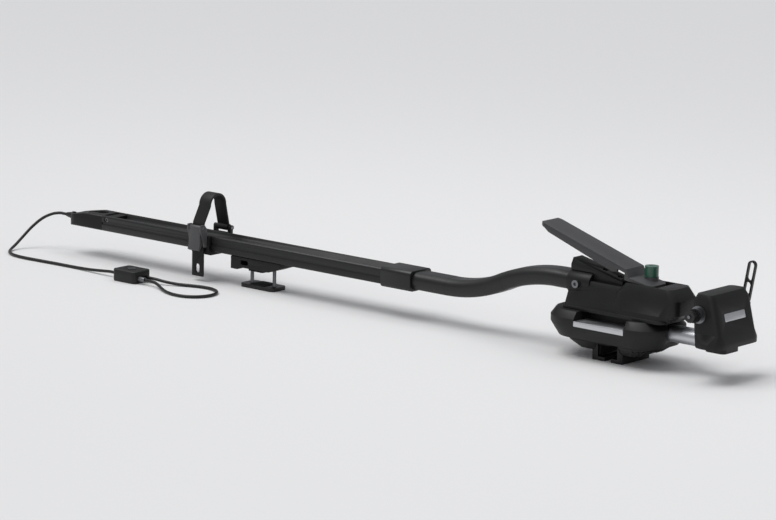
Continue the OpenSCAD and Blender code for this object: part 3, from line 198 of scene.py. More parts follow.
def make_edge_rub_and_highlight_group():
    """Wear and painted highlight along rounded edges, broken up by noise, as a mask."""
    tree, inside, outside = shader_group(
        "rubbed_and_highlit_edges",
        [("Vector", "NodeSocketVector", None), ("Edge", "NodeSocketFloat", 0.0),
         ("Amount", "NodeSocketFloat", 0.5)],
        [("Mask", "NodeSocketFloat")])
    broken = noise(tree, inside.outputs["Vector"], 55.0, detail=5.0, roughness=0.7)
    patchy = map_range(tree, broken, 0.35, 0.65, 0.25, 1.0)
    broken_edge = math_node(tree, "MULTIPLY", inside.outputs["Edge"], patchy)
    mask = math_node(tree, "MULTIPLY", broken_edge, inside.outputs["Amount"])
    tree.links.new(mask, outside.inputs["Mask"])
    return tree


RUBBED_AND_HIGHLIT = make_edge_rub_and_highlight_group()
GRAIN = make_grain_group()
SCUFFS = make_scuff_group()
BRUSHED = make_brush_group()


def place_group(tree, group, vector, **values):
    node = tree.nodes.new("ShaderNodeGroup")
    node.node_tree = group
    tree.links.new(vector, node.inputs["Vector"])
    for label, value in values.items():
        node.inputs[label].default_value = value
    return node


def mix_colour(tree, factor, first, second):
    node = tree.nodes.new("ShaderNodeMix")
    node.data_type = "RGBA"
    tree.links.new(factor, node.inputs["Factor"])
    for label, value in (("A", first), ("B", second)):
        target = [s for s in node.inputs if s.name == label and s.type == "RGBA"][0]
        if isinstance(value, tuple):
            target.default_value = (*value, 1.0)
        else:
            tree.links.new(value, target)
    return [s for s in node.outputs if s.type == "RGBA"][0]


# Every finish has the same scuffs: their scale, how sparse and how strong they are, and how much smoother
# a worn place is
SCUFF_SCALE = 30.0
SCUFF_SPREAD = 0.66
SCUFF_STRENGTH = 0.35
WORN_SMOOTHER = 0.12
GRAIN_HEIGHT = 0.00012


def finish_of(name, dark, light, rough, scale, depth, scuff_and_highlight, grain=GRAIN, metal=0.0, specular=0.5, coat=0.0,
              edge=0.5):
    """A material: two tones, a grained height, a range of roughness, scuffs, and rubbed edges that are
    partly wear and partly a painted highlight.
    """
    made = bpy.data.materials.new(name)
    made.use_nodes = True
    tree = made.node_tree
    shader = tree.nodes["Principled BSDF"]
    shader.inputs["Metallic"].default_value = metal
    shader.inputs["Specular IOR Level"].default_value = specular
    shader.inputs["Coat Weight"].default_value = coat
    place = tree.nodes.new("ShaderNodeTexCoord")
    vector = place.outputs["Object"]
    surface = place_group(tree, grain, vector, Scale=scale)
    marks = place_group(tree, SCUFFS, vector, Scale=SCUFF_SCALE, Spread=SCUFF_SPREAD)
    colour = mix_colour(tree, surface.outputs["Tone"], dark, light)
    corner = tree.nodes.new("ShaderNodeAttribute")
    corner.attribute_name = "edge_wear_and_highlight"
    rub_and_highlight = place_group(tree, RUBBED_AND_HIGHLIT, vector, Amount=edge)
    tree.links.new(corner.outputs["Fac"], rub_and_highlight.inputs["Edge"])
    faint = math_node(tree, "MULTIPLY", marks.outputs["Mask"], SCUFF_STRENGTH)
    # Scuffs and rubbed edges take the scuff colour. On the edges it is partly wear and partly a painted
    # highlight.
    wear_and_highlight = math_node(tree, "MAXIMUM", faint, rub_and_highlight.outputs["Mask"])
    tree.links.new(mix_colour(tree, wear_and_highlight, colour, scuff_and_highlight), shader.inputs["Base Color"])
    base = map_range(tree, surface.outputs["Tone"], 0.3, 0.7, rough[0], rough[1])
    smoother = math_node(tree, "MULTIPLY", wear_and_highlight, WORN_SMOOTHER)
    tree.links.new(math_node(tree, "SUBTRACT", base, smoother), shader.inputs["Roughness"])
    relief = tree.nodes.new("ShaderNodeBump")
    relief.inputs["Strength"].default_value = depth
    relief.inputs["Distance"].default_value = GRAIN_HEIGHT
    tree.links.new(surface.outputs["Height"], relief.inputs["Height"])
    tree.links.new(relief.outputs["Normal"], shader.inputs["Normal"])
    return made


# Each finish's scuff colour also paints its rounded edges lighter: partly wear, partly a painted highlight
# along the rims.
FINISHES = {
    "black_metal": finish_of(
        "satin_black_coating", (0.008, 0.008, 0.0085), (0.014, 0.014, 0.0145), (0.34, 0.46),
        scale=1400.0, depth=0.18, scuff_and_highlight=(0.06, 0.06, 0.062), specular=0.42, edge=0.55),
    "black_plastic": finish_of(
        "moulded_black", (0.0035, 0.0035, 0.0037), (0.007, 0.007, 0.0073), (0.42, 0.55),
        scale=1100.0, depth=0.3, scuff_and_highlight=(0.045, 0.045, 0.045), specular=0.36, edge=0.7),
    "cast_black": finish_of(
        "coated_casting", (0.0035, 0.0035, 0.0037), (0.007, 0.007, 0.0073), (0.38, 0.52),
        scale=600.0, depth=0.4, scuff_and_highlight=(0.06, 0.06, 0.06), specular=0.36, edge=0.6),
    "seat_rubber": finish_of(
        "seat_rubber", (0.005, 0.005, 0.005), (0.009, 0.009, 0.009), (0.72, 0.88),
        scale=1500.0, depth=0.35, scuff_and_highlight=(0.03, 0.03, 0.03), specular=0.3, edge=0.3),
    "bare_steel": finish_of(
        "dark_zinc", (0.15, 0.155, 0.165), (0.27, 0.275, 0.285), (0.3, 0.46), grain=BRUSHED,
        scale=900.0, depth=0.12, metal=1.0, scuff_and_highlight=(0.12, 0.12, 0.125), edge=0.3),
    "bare_aluminium": finish_of(
        "drawn_aluminium", (0.48, 0.49, 0.51), (0.68, 0.69, 0.71), (0.3, 0.44), grain=BRUSHED,
        scale=620.0, depth=0.2, metal=1.0, scuff_and_highlight=(0.4, 0.4, 0.42), edge=0.3),
    "grey_lever": finish_of(
        "grey_lever", (0.038, 0.038, 0.04), (0.055, 0.055, 0.057), (0.36, 0.48),
        scale=1200.0, depth=0.22, scuff_and_highlight=(0.15, 0.15, 0.15), specular=0.42, edge=0.6),
    "green_plug": finish_of(
        "green_barrel", (0.018, 0.085, 0.052), (0.03, 0.12, 0.076), (0.24, 0.36),
        scale=2200.0, depth=0.08, scuff_and_highlight=(0.1, 0.2, 0.15), coat=0.3),
    "skewer_black": finish_of(
        "skewer_black", (0.007, 0.007, 0.0073), (0.014, 0.014, 0.0145), (0.24, 0.36),
        scale=1600.0, depth=0.1, scuff_and_highlight=(0.15, 0.15, 0.155), specular=0.42),
    "strap_rubber": finish_of(
        "strap_rubber", (0.007, 0.007, 0.007), (0.012, 0.012, 0.012), (0.5, 0.66),
        scale=1300.0, depth=0.3, scuff_and_highlight=(0.05, 0.05, 0.05), specular=0.36, edge=0.4),
    "buckle_grey": finish_of(
        "buckle_grey", (0.065, 0.065, 0.067), (0.09, 0.09, 0.093), (0.36, 0.5),
        scale=1200.0, depth=0.2, scuff_and_highlight=(0.2, 0.2, 0.2), specular=0.42, edge=0.5),
    "cable_black": finish_of(
        "cable_cover", (0.006, 0.006, 0.0063), (0.011, 0.011, 0.0115), (0.3, 0.44),
        scale=1800.0, depth=0.15, scuff_and_highlight=(0.04, 0.04, 0.04), specular=0.42),
    "lock_black": finish_of(
        "lock_shell", (0.006, 0.006, 0.0063), (0.011, 0.011, 0.0115), (0.4, 0.54),
        scale=900.0, depth=0.3, scuff_and_highlight=(0.05, 0.05, 0.05), specular=0.4, edge=0.5),
}
SLOT_OF = {row["node"]: row["material_slot"] for row in frame["record"]["subparts"]}
BODY_OF = {node: body for body, nodes in frame["record"]["behaviour"]["bodies"].items() for node in nodes}


def give_finish(obj, slot):
    obj.data.materials.clear()
    obj.data.materials.append(FINISHES[slot])


for node_name, node_object in frame["nodes"].items():
    give_finish(node_object, SLOT_OF[node_name])


# Pieces

def new_piece(name, mesh, body, slot, replaces=()):
    """A finished piece: it rides on a body, takes a finish and may stand for solids of the model."""
    obj = bpy.data.objects.new(name, mesh)
    bpy.context.scene.collection.objects.link(obj)
    give_finish(obj, slot)
    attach(obj, body)
    if replaces:
        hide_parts(*replaces)
    return obj


def baked_mesh(obj):
    """The plain mesh of an object with its modifiers applied; the object is removed."""
    bpy.context.view_layer.update()
    graph = bpy.context.evaluated_depsgraph_get()
    mesh = bpy.data.meshes.new_from_object(obj.evaluated_get(graph))
    old = obj.data
    bpy.data.objects.remove(obj)
    if old.users == 0:
        bpy.data.meshes.remove(old)
    return mesh


def bare_object(name, bm):
    mesh = bpy.data.meshes.new(name)
    bm.to_mesh(mesh)
    bm.free()
    obj = bpy.data.objects.new(name, mesh)
    bpy.context.scene.collection.objects.link(obj)
    return obj


def add_bevel(obj, width, angle=32.0):
    """Rounds an object's edges in two steps; the new faces have the second material index."""
    for _ in range(2):
        obj.data.materials.append(None)
    bevel = obj.modifiers.new("round_edges", "BEVEL")
    bevel.width = width
    bevel.segments = 2
    bevel.material = 1
    bevel.limit_method = "ANGLE"
    bevel.angle_limit = math.radians(angle)
    bevel.use_clamp_overlap = True


def mark_edges(mesh):
    """Writes 1 on the middle line of each rounded edge and 0 elsewhere, for the wear and the painted
    highlight on it.
    """
    inner = [True] * len(mesh.vertices)
    for polygon in mesh.polygons:
        if polygon.material_index != 1:
            for index in polygon.vertices:
                inner[index] = False
        polygon.material_index = 0
    layer = mesh.attributes.new("edge_wear_and_highlight", "FLOAT", "POINT")
    layer.data.foreach_set("value", [1.0 if inside else 0.0 for inside in inner])


def smooth(mesh, angle=38.0):
    for polygon in mesh.polygons:
        polygon.use_smooth = True
    mesh.set_sharp_from_angle(angle=math.radians(angle))


def whole_faces(mesh, angle=0.6):
    """A mesh's form for editing, with its triangles joined into flat faces."""
    bm = bmesh.new()
    bm.from_mesh(mesh)
    bmesh.ops.remove_doubles(bm, verts=bm.verts, dist=WELD)
    bmesh.ops.dissolve_limit(bm, angle_limit=math.radians(angle), verts=bm.verts, edges=bm.edges)
    return bm


def rounded_piece(name, obj, nodes, width, angle=32.0):
    """An object's form with rounded edges, as the piece that stands for some solids of one body."""
    add_bevel(obj, width, angle)
    mesh = baked_mesh(obj)
    mark_edges(mesh)
    smooth(mesh)
    return new_piece(name, mesh, BODY_OF[nodes[0]], SLOT_OF[nodes[0]], nodes)


def node_form(node):
    """A loose copy of a node's solid."""
    return bare_object(node + "_form", whole_faces(frame["nodes"][node].data))


def rounded_copy(node, width):
    return rounded_piece(node + "_shape", node_form(node), (node,), width)


def stretch(obj, low, high):
    """Moves the outermost faces of a form outwards, along X, Y and Z."""
    near = 1e-5
    vertices = obj.data.vertices
    for axis in range(3):
        first, last = min(v.co[axis] for v in vertices), max(v.co[axis] for v in vertices)
        for vertex in vertices:
            if vertex.co[axis] < first + near:
                vertex.co[axis] -= low[axis]
            elif vertex.co[axis] > last - near:
                vertex.co[axis] += high[axis]


def make_head():
    """Housing, cheeks and nose of the head as one moulding without seams."""
    nodes = ("head_body", "head_cheeks", "head_nose")
    head, cheeks, nose = (node_form(node) for node in nodes)
    stretch(cheeks, (HEAD_LAP, 0, HEAD_LAP), (HEAD_LAP, 0, 0))
    stretch(nose, (0, 0, HEAD_LAP), (0, 0, 0))
    for other in (cheeks, nose):
        join = head.modifiers.new("join", "BOOLEAN")
        join.operation = "UNION"
        join.object = other
    mesh = baked_mesh(head)
    for other in (cheeks, nose):
        bpy.data.objects.remove(other)
    rounded_piece("head_shape", bare_object("head_form", whole_faces(mesh, 1.2)), nodes, HEAD_EDGE)


# Nodes that get rounded edges, and the width of the rounding
ROUNDED = {
    "tray_rail": 0.0006, "rail_end_cap": 0.0016, "joint_sleeve": 0.0008, "head_cover": 0.002,
    "base_body": 0.0012, "guide_plate": 0.0006, "front_claw": 0.0012, "rear_claw": 0.0012,
    "clamp_lever": 0.0012, "fork_block": 0.0014, "block_plate": 0.0003, "rear_bracket": 0.001,
    "rear_clamp_plate": 0.0007, "strap_saddle": 0.0008, "buckle_body": 0.0006, "buckle_lever": 0.0006,
    "cable_lock_body": 0.002, "base_pad": 0.0006, "front_claw_pad": 0.0004, "rear_claw_pad": 0.0004,
    "rear_pad": 0.0006, "rear_plate_pad": 0.0002, "cam_block": 0.0004, "skewer_lever": 0.0006,
}
for node_name, edge_width in ROUNDED.items():
    rounded_copy(node_name, edge_width)
make_head()


# Geometry node groups

def geometry_group(name, inputs):
    """An empty geometry node group: geometry in and out, and its named sizes."""
    tree = bpy.data.node_groups.new(name, "GeometryNodeTree")
    socket(tree, "Geometry", "NodeSocketGeometry")
    for label, kind, value in inputs:
        socket(tree, label, kind, value=value)
    socket(tree, "Material", "NodeSocketMaterial")
    socket(tree, "Geometry", "NodeSocketGeometry", out=True)
    return tree, tree.nodes.new("NodeGroupInput"), tree.nodes.new("NodeGroupOutput")


def end_group(tree, inside, outside, geometry):
    """The group's end: instances become plain mesh, which takes the material."""
    real = tree.nodes.new("GeometryNodeRealizeInstances")
    coat = tree.nodes.new("GeometryNodeSetMaterial")
    tree.links.new(geometry, real.inputs["Geometry"])
    tree.links.new(real.outputs["Geometry"], coat.inputs["Geometry"])
    tree.links.new(inside.outputs["Material"], coat.inputs["Material"])
    tree.links.new(coat.outputs["Geometry"], outside.inputs["Geometry"])


def cylinder_node(tree, sides, diameter, top, bottom):
    """A cylinder along Z between two heights."""
    made = tree.nodes.new("GeometryNodeMeshCylinder")
    made.inputs["Vertices"].default_value = sides
    tree.links.new(math_node(tree, "MULTIPLY", diameter, 0.5), made.inputs["Radius"])
    tree.links.new(math_node(tree, "SUBTRACT", top, bottom), made.inputs["Depth"])
    middle = tree.nodes.new("ShaderNodeCombineXYZ")
    tree.links.new(math_node(tree, "MULTIPLY", math_node(tree, "ADD", top, bottom), 0.5), middle.inputs["Z"])
    move = tree.nodes.new("GeometryNodeTransform")
    tree.links.new(made.outputs["Mesh"], move.inputs["Geometry"])
    tree.links.new(middle.outputs["Vector"], move.inputs["Translation"])
    return move.outputs["Geometry"]


def boolean_node(tree, operation, first, others):
    node = tree.nodes.new("GeometryNodeMeshBoolean")
    node.operation = operation
    many = [s for s in node.inputs if s.is_multi_input][0]
    if operation == "DIFFERENCE":
        tree.links.new(first, node.inputs["Mesh 1"])
    else:
        others = [first] + others
    for geometry in others:
        tree.links.new(geometry, many)
    return node.outputs["Mesh"]


def make_screw_group():
    """A screw with a hexagon socket at each point; its head looks along the point's facing."""
    tree, inside, outside = geometry_group(
        "socket_screws",
        [("Head Diameter", "NodeSocketFloat", 0.008), ("Head Height", "NodeSocketFloat", 0.003),
         ("Socket Width", "NodeSocketFloat", 0.0045), ("Socket Depth", "NodeSocketFloat", 0.002),
         ("Shank Diameter", "NodeSocketFloat", 0.004), ("Length", "NodeSocketFloat", 0.016)])
    size = inside.outputs
    under_head = math_node(tree, "MULTIPLY", size["Head Height"], -1.0)
    in_head = math_node(tree, "MULTIPLY", size["Head Height"], -0.5)
    end = math_node(tree, "MULTIPLY", size["Length"], -1.0)
    floor = math_node(tree, "MULTIPLY", size["Socket Depth"], -1.0)
    head_sides, shank_sides, key_sides = 40, 24, 6
    head = cylinder_node(tree, head_sides, size["Head Diameter"], 0.0, under_head)
    shank = cylinder_node(tree, shank_sides, size["Shank Diameter"], in_head, end)
    key = cylinder_node(tree, key_sides, size["Socket Width"], size["Socket Depth"], floor)
    screw = boolean_node(tree, "DIFFERENCE", boolean_node(tree, "UNION", head, [shank]), [key])
    facing = tree.nodes.new("GeometryNodeInputNamedAttribute")
    facing.data_type = "FLOAT_VECTOR"
    facing.inputs["Name"].default_value = "facing"
    turn = tree.nodes.new("FunctionNodeAlignRotationToVector")
    turn.axis = "Z"
    tree.links.new(facing.outputs["Attribute"], turn.inputs["Vector"])
    spread = tree.nodes.new("GeometryNodeInstanceOnPoints")
    tree.links.new(size["Geometry"], spread.inputs["Points"])
    tree.links.new(screw, spread.inputs["Instance"])
    tree.links.new(turn.outputs["Rotation"], spread.inputs["Rotation"])
    end_group(tree, inside, outside, spread.outputs["Instances"])
    return tree


def make_sweep_group():
    """A round bar along every chain of edges: a cord along its route, or a raised rib along its line."""
    tree, inside, outside = geometry_group(
        "swept_rounds", [("Diameter", "NodeSocketFloat", 0.005), ("Sides", "NodeSocketInt", 14)])
    line = tree.nodes.new("GeometryNodeMeshToCurve")
    ring = tree.nodes.new("GeometryNodeCurvePrimitiveCircle")
    sweep = tree.nodes.new("GeometryNodeCurveToMesh")
    sweep.inputs["Fill Caps"].default_value = True
    tree.links.new(inside.outputs["Geometry"], line.inputs["Mesh"])
    tree.links.new(inside.outputs["Sides"], ring.inputs["Resolution"])
    tree.links.new(math_node(tree, "MULTIPLY", inside.outputs["Diameter"], 0.5), ring.inputs["Radius"])
    tree.links.new(line.outputs["Curve"], sweep.inputs["Curve"])
    tree.links.new(ring.outputs["Curve"], sweep.inputs["Profile Curve"])
    end_group(tree, inside, outside, sweep.outputs["Mesh"])
    return tree


SCREWS = make_screw_group()
SWEPT = make_sweep_group()


def grown_mesh(name, tree, sizes, slot, places, edges=(), facing=None, round_width=0.0):
    """The plain mesh that a geometry node group makes from points or edges."""
    seed = bpy.data.meshes.new(name + "_seed")
    seed.from_pydata([tuple(p) for p in places], list(edges), [])
    if facing:
        layer = seed.attributes.new("facing", "FLOAT_VECTOR", "POINT")
        layer.data.foreach_set("vector", facing)
    obj = bpy.data.objects.new(name, seed)
    bpy.context.scene.collection.objects.link(obj)
    modifier = obj.modifiers.new(tree.name, "NODES")
    modifier.node_group = tree
    values = dict(sizes, Material=FINISHES[slot])
    for item in tree.interface.items_tree:
        if item.in_out == "INPUT" and item.name in values:
            modifier[item.identifier] = values[item.name]
    if round_width:
        add_bevel(obj, round_width)
    bm = bmesh.new()
    bm.from_mesh(baked_mesh(obj))
    bmesh.ops.remove_doubles(bm, verts=bm.verts, dist=1e-6)
    bmesh.ops.recalc_face_normals(bm, faces=bm.faces)
    mesh = bpy.data.meshes.new(name)
    bm.to_mesh(mesh)
    bm.free()
    if round_width:
        mark_edges(mesh)
    smooth(mesh)
    return mesh


# Screws

def solid_boxes(node):
    """Corners of each separate solid of a node."""
    bm = bmesh.new()
    bm.from_mesh(frame["nodes"][node].data)
    bmesh.ops.remove_doubles(bm, verts=bm.verts, dist=WELD)
    left, boxes = set(bm.verts), []
    while left:
        part, queue = set(), [left.pop()]
        while queue:
            vertex = queue.pop()
            part.add(vertex)
            for edge in vertex.link_edges:
                other = edge.other_vert(vertex)
                if other in left:
                    left.discard(other)
                    queue.append(other)
        boxes.append([Vector([pick(v.co[axis] for v in part) for axis in range(3)])
                      for pick in (min, max)])
    bm.free()
    return boxes


# Each set of screws: the axis that the heads look along, the side (0 is outwards from the middle),
# height of the head, diameter of the shank, width and depth of the socket
SCREW_SETS = {
    "cap_screws": (1, 0, 0.0006, 0.006, 0.0036, 0.0016),
    "joint_screws": (2, -1, 0.003, 0.005, 0.0045, 0.002),
    "cover_screws": (2, 1, 0.003, 0.004, 0.0045, 0.002),
    "plate_screws": (2, -1, 0.003, 0.005, 0.005, 0.002),
    "beam_bolts": (2, -1, 0.004, 0.006, 0.0058, 0.0026),
    "rear_bolts": (2, -1, 0.0035, 0.006, 0.0065, 0.0022),
}


def make_screws(node, axis, side, head_height, shank, socket_width, socket_depth):
    """Socket screws in the places of a node's solids."""
    places, facing, size = [], [], None
    for low, high in solid_boxes(node):
        place, size = (low + high) / 2, high - low
        way = side or (1 if place[axis] > 0 else -1)
        place[axis] = high[axis] if way > 0 else low[axis]
        places.append(place)
        facing += [way if i == axis else 0.0 for i in range(3)]
    sizes = {"Head Diameter": size[(axis + 1) % 3], "Head Height": head_height, "Socket Width": socket_width,
             "Socket Depth": socket_depth, "Shank Diameter": shank, "Length": size[axis]}
    mesh = grown_mesh(node + "_turned", SCREWS, sizes, SLOT_OF[node], places, facing=facing,
                      round_width=SCREW_EDGE)
    new_piece(node + "_turned", mesh, BODY_OF[node], SLOT_OF[node], (node,))


for node_name, screw_sizes in SCREW_SETS.items():
    make_screws(node_name, *screw_sizes)


# Ribs of the front claw

# The bow's outline at its rim and at its foot: front, half width, corner radius and height
CLAW_RIM = (0.071, 0.048, 0.020, -0.0015)
CLAW_FOOT = (0.055, 0.038, 0.016, -0.013)
RIB_D = 0.003
RIB_SIDES = 12
# Where the ribs stand: shares along the straight front, and angles round each corner
RIB_SHARES = (-1.0, -0.75, -0.5, 0.5, 0.75, 1.0)
RIB_TURNS = (25, 50, 75)
# A rib's ends, as shares of the way from the rim to the foot
RIB_FROM, RIB_TO = 0.1, 0.9


def bow_point(rim, turn, along):
    """A point on a bow's front outline: a share along its straight front, or an angle round its corner."""
    front, half, corner, height = rim
    straight = half - corner
    x = front - corner + corner * math.cos(turn)
    return Vector((x, straight * along + corner * math.sin(turn), height))


def make_claw_ribs():
    """Raised ribs from the rim of the front claw down to its foot."""
    stations = [(0.0, share) for share in RIB_SHARES]
    stations += [(side * math.radians(turn), side) for turn in RIB_TURNS for side in (-1, 1)]
    places, edges = [], []
    for turn, along in stations:
        top, foot = bow_point(CLAW_RIM, turn, along), bow_point(CLAW_FOOT, turn, along)
        edges.append((len(places), len(places) + 1))
        places += [top.lerp(foot, RIB_FROM), top.lerp(foot, RIB_TO)]
    sizes, slot = {"Diameter": RIB_D, "Sides": RIB_SIDES}, SLOT_OF["front_claw"]
    mesh = grown_mesh("front_claw_ribs", SWEPT, sizes, slot, places, edges)
    new_piece("front_claw_ribs", mesh, BODY_OF["front_claw"], slot)


make_claw_ribs()


# Cords

# Points of the cable after its gland and of the loop after the case's front: X and Y in millimetres from
# there, and the height as a share of the way from the floor up to the start
CABLE_POINTS = (
    (0, 0, 1), (-8, 0, 1), (-17, -1, 1), (-30, -6, 0.95), (-43, -16, 0.81), (-53, -30, 0.57),
    (-58, -46, 0.31), (-58, -63, 0.11), (-53, -79, 0.02), (-42, -94, 0), (-27, -105, 0), (-9, -111, 0),
    (14, -113, 0), (44, -112, 0), (84, -110, 0), (124, -109, 0), (160, -110, 0.02), (188, -111.5, 0.06))
LOOP_POINTS = (
    (10, 9, 1), (21, 9.5, 0.95), (38, 14, 0.5), (57, 22, 0.1), (78, 31, 0), (99, 37, 0), (120, 36, 0),
    (138, 27, 0), (149, 11, 0), (151, -8, 0), (143, -26, 0), (127, -37, 0), (107, -39, 0), (87, -34, 0),
    (68, -25, 0.1), (52, -16.5, 0.5), (38, -11, 0.9))
# Last points of the cable behind the case: how far before its end. Last points of the loop ahead of its
# ferrule's end and in it: how far before the end, and how far to the side
CABLE_LAST = (0.024, 0.012, 0.0)
LOOP_LAST = ((0.012, 0.0002), (0.006, 0.0), (0.0, 0.0))
ROUTE_STEPS = 8


def smooth_route(points, steps):
    """A Catmull-Rom curve through the points, as the solid cord has."""
    route = []
    for i in range(len(points) - 1):
        a, b = points[max(i - 1, 0)], points[i]
        c, d = points[i + 1], points[min(i + 2, len(points) - 1)]
        for k in range(steps):
            t = k / steps
            route.append(0.5 * (2 * b + (c - a) * t + (2 * a - 5 * b + 4 * c - d) * t ** 2
                                + (3 * b - a - 3 * c + d) * t ** 3))
    route.append(points[-1])
    return route


def cord_mesh(name, route):
    """The cable's cover along a route, and the route's length."""
    edges = [(i, i + 1) for i in range(len(route) - 1)]
    mesh = grown_mesh(name, SWEPT, {"Diameter": CABLE_D, "Sides": CABLE_SIDES}, "cable_black", route, edges)
    return mesh, sum((route[j] - route[i]).length for i, j in edges)


def raised_points(start, lift, shares):
    """Points at X and Y from a start, each raised from the floor by its share of a lift."""
    return [Vector((start[0] + x * MM, start[1] + y * MM, CABLE_Z + share * lift))
            for x, y, share in shares]


def lay_cables():
    """The lock cable from its gland to the lock's case, and the loop that plugs back into the case."""
    points = raised_points(GLAND, GLAND[2] - CABLE_Z, CABLE_POINTS)
    points += [Vector((LOCK_REAR[0] - back, LOCK_REAR[1], LOCK_REAR[2])) for back in CABLE_LAST]
    route = smooth_route(points, ROUTE_STEPS)
    mesh, length = cord_mesh("lock_cable_run", route)
    run = new_piece("lock_cable_run", mesh, "frame", "cable_black", ("lock_cable",))

    points = [Vector((LOCK_FRONT_X, LOCK_REAR[1] + LOOP_SIDE, LOCK_REAR[2]))]
    points += raised_points((LOCK_FRONT_X, LOCK_REAR[1]), LOCK_REAR[2] - CABLE_Z, LOOP_POINTS)
    side = LOCK_REAR[1] - LOOP_SIDE
    points += [Vector((FERRULE_END_X + back, side - out, LOCK_REAR[2])) for back, out in LOOP_LAST]
    loop_route = smooth_route(points, ROUTE_STEPS)
    mesh, loop_length = cord_mesh("lock_loop_run", loop_route)
    loop = new_piece("lock_loop_run", mesh, "frame", "cable_black", ("lock_loop",))


lay_cables()


# Wheel strap

def strap_centreline():
    """Middle of the strap in Y and Z, from the far eye over the arch to the hanging end."""
    middle = ARCH_R - STRAP_T / 2
    near = -STRAP_IN_Y - STRAP_T / 2
    line = [Vector((ANCHOR[0], ANCHOR[1] + 0.003))]
    for degrees in range(0, 181, 9):
        angle = math.radians(degrees)
        line.append(Vector((middle * math.cos(angle), ARCH_Z + middle * math.sin(angle))))
    line += [Vector((near + 0.0016, BUCKLE_Z + 0.008)), Vector((near + 0.0003, BUCKLE_Z + 0.003)),
             Vector((near, BUCKLE_Z - 0.004)), Vector((near, 0.02)), Vector((near, TAIL_Z))]
    return line


def push_faces(bm, move):
    """Draws all the faces of a flat form out into a closed solid."""
    pushed = bmesh.ops.extrude_face_region(bm, geom=bm.faces[:])
    moved = [v for v in pushed["geom"] if isinstance(v, bmesh.types.BMVert)]
    bmesh.ops.translate(bm, vec=move, verts=moved)
    bmesh.ops.recalc_face_normals(bm, faces=bm.faces)


def slot_cutter():
    """The long hole in the strap's hanging end, as a solid through the strap."""
    bm = bmesh.new()
    bmesh.ops.create_circle(bm, cap_ends=True, radius=SLOT_R, segments=32)
    for v in bm.verts:
        v.co.y += math.copysign(SLOT_HALF, v.co.y)
    bmesh.ops.rotate(bm, matrix=Matrix.Rotation(math.pi / 2, 3, "X"), verts=bm.verts)
    before, through = 0.004, 0.012
    bmesh.ops.translate(bm, vec=(STRAP_X, -STRAP_IN_Y + before, TAIL_Z + SLOT_UP), verts=bm.verts)
    push_faces(bm, (0, -through, 0))
    return bare_object("strap_slot_cutter", bm)


def strap_mesh():
    """The strap's band with its end slot and rounded edges."""
    line = strap_centreline()
    sides = ([], [])
    for i, point in enumerate(line):
        along = (line[min(i + 1, len(line) - 1)] - line[max(i - 1, 0)]).normalized()
        across = Vector((-along.y, along.x)) * STRAP_T / 2
        sides[0].append(point + across)
        sides[1].append(point - across)
    outline = sides[0] + sides[1][::-1]
    bm = bmesh.new()
    half = STRAP_W / 2
    ring = [bm.verts.new((STRAP_X - half, p.x, p.y)) for p in outline]
    n = len(line)
    for i in range(n - 1):
        bm.faces.new((ring[i], ring[i + 1], ring[2 * n - 2 - i], ring[2 * n - 1 - i]))
    push_faces(bm, (STRAP_W, 0, 0))
    obj = bare_object("strap_form", bm)
    cutter = slot_cutter()
    slot = obj.modifiers.new("end_slot", "BOOLEAN")
    slot.operation = "DIFFERENCE"
    slot.object = cutter
    add_bevel(obj, STRAP_EDGE, 40.0)
    mesh = baked_mesh(obj)
    bpy.data.objects.remove(cutter)
    mark_edges(mesh)
    return mesh


def eye_mesh(bm, centre, inner, outer, half_width, sides=36):
    """A ring round the strap's far pin, added to a mesh."""
    rings = []
    angles = [2 * math.pi * k / sides for k in range(sides)]
    for radius, x in ((outer, -half_width), (outer, half_width), (inner, half_width), (inner, -half_width)):
        rings.append([bm.verts.new((STRAP_X + x, centre[0] + radius * math.cos(angle),
                                    centre[1] + radius * math.sin(angle))) for angle in angles])
    made = []
    for i in range(4):
        for k in range(sides):
            j = (k + 1) % sides
            after = rings[(i + 1) % 4]
            made.append(bm.faces.new((rings[i][k], rings[i][j], after[j], after[k])))
    bmesh.ops.recalc_face_normals(bm, faces=made)


def make_strap():
    bm = bmesh.new()
    bm.from_mesh(strap_mesh())
    eye_mesh(bm, ANCHOR, EYE_INNER_R, EYE_OUTER_R, STRAP_W / 2 - EYE_INSET)
    mesh = bpy.data.meshes.new("wheel_strap_band")
    bm.to_mesh(mesh)
    bm.free()
    smooth(mesh, 35.0)
    return new_piece("wheel_strap_band", mesh, "strap_slider", "strap_rubber", ("wheel_strap",))


make_strap()


# Stage, light and camera

FLOOR_HALF = 12.0
FLOOR_GAP = 0.0001
FLOOR_COLOUR = (0.8, 0.8, 0.8, 1.0)
FLOOR_ROUGHNESS = 0.85
SKY_COLOUR = (0.95, 0.96, 1.0, 1.0)
SKY_STRENGTH = 0.36
SUN_STRENGTH = 1.75
SUN_SPREAD = math.radians(40.0)
SUN_TURN = (math.radians(14.0), math.radians(-20.0), 0.0)
# Area lamps: place, the point that they look at, width and height, and power
LAMPS = {
    "overhead": ((-0.4, 0.6, 1.8), (-0.45, 0, 0), (2.8, 0.9), 8.0),
    "camera_side": ((1.2, -2.6, 1.4), (-0.2, 0, 0), (2.0, 1.2), 6.0),
}
# The photograph's camera: its place, its angles, its focal length and its frame in pixels
EYE = Vector((3.1821, -4.3737, 1.1961))
AZIMUTH, ELEVATION, ROLL = math.radians(37.682), math.radians(11.815), math.radians(1.679)
FOCAL = 1528.66
PHOTO_W, PHOTO_H = 776, 520
# The point of the photograph that the render is centred on, and how much closer it looks
AIM_U, AIM_V = 334.0, 246.0
ZOOM = 2.42
SENSOR_W = 36.0
NEAREST, FARTHEST = 0.05, 60.0


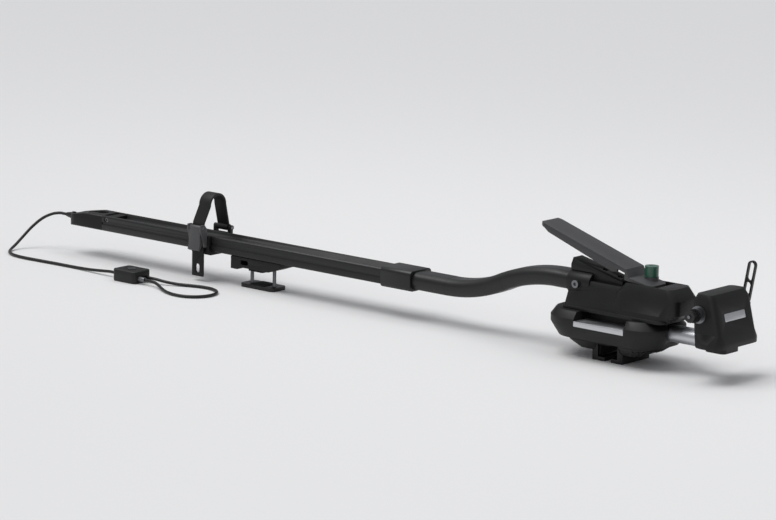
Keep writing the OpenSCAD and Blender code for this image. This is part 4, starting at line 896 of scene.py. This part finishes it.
def make_stage():
    bm = bmesh.new()
    bmesh.ops.create_grid(bm, x_segments=1, y_segments=1, size=FLOOR_HALF)
    floor = bare_object("floor", bm)
    floor.location.z = FLOOR_Z - FLOOR_GAP
    pale = bpy.data.materials.new("pale_floor")
    pale.use_nodes = True
    shader = pale.node_tree.nodes["Principled BSDF"]
    shader.inputs["Base Color"].default_value = FLOOR_COLOUR
    shader.inputs["Roughness"].default_value = FLOOR_ROUGHNESS
    floor.data.materials.append(pale)


def area_lamp(name, place, target, size, power):
    lamp = bpy.data.lights.new(name, "AREA")
    lamp.shape = "RECTANGLE"
    lamp.size, lamp.size_y = size
    lamp.energy = power
    obj = bpy.data.objects.new(name, lamp)
    obj.location = place
    obj.rotation_euler = (Vector(target) - Vector(place)).to_track_quat("-Z", "Y").to_euler()
    bpy.context.scene.collection.objects.link(obj)


def light_scene():
    world = bpy.data.worlds.new("soft_sky")
    bpy.context.scene.world = world
    world.use_nodes = True
    sky = world.node_tree.nodes["Background"]
    sky.inputs["Color"].default_value = SKY_COLOUR
    sky.inputs["Strength"].default_value = SKY_STRENGTH
    sun = bpy.data.lights.new("soft_sun", "SUN")
    sun.energy = SUN_STRENGTH
    sun.angle = SUN_SPREAD
    obj = bpy.data.objects.new("soft_sun", sun)
    obj.rotation_euler = SUN_TURN
    bpy.context.scene.collection.objects.link(obj)
    for name, lamp in LAMPS.items():
        area_lamp(name, *lamp)


def place_camera():
    """The camera stands where the photograph was taken from and looks at the carrier."""
    out = math.cos(ELEVATION)
    ahead = -Vector((math.sin(AZIMUTH) * out, -math.cos(AZIMUTH) * out, math.sin(ELEVATION)))
    level = ahead.cross(Vector((0, 0, 1))).normalized()
    above = level.cross(ahead)
    right = math.cos(ROLL) * level + math.sin(ROLL) * above
    up = -math.sin(ROLL) * level + math.cos(ROLL) * above
    look = (ahead + right * (AIM_U - PHOTO_W / 2) / FOCAL + up * (PHOTO_H / 2 - AIM_V) / FOCAL).normalized()
    side = look.cross(up).normalized()
    top = side.cross(look)
    camera = bpy.data.cameras.new("camera")
    camera.sensor_width = SENSOR_W
    camera.lens = SENSOR_W * FOCAL * ZOOM / PHOTO_W
    camera.clip_start, camera.clip_end = NEAREST, FARTHEST
    obj = bpy.data.objects.new("camera", camera)
    turned = Matrix((side, top, -look)).transposed()
    obj.matrix_world = Matrix.Translation(EYE) @ turned.to_4x4()
    bpy.context.scene.collection.objects.link(obj)
    bpy.context.scene.camera = obj


make_stage()
light_scene()
place_camera()
bpy.context.scene.view_settings.view_transform = "Standard"
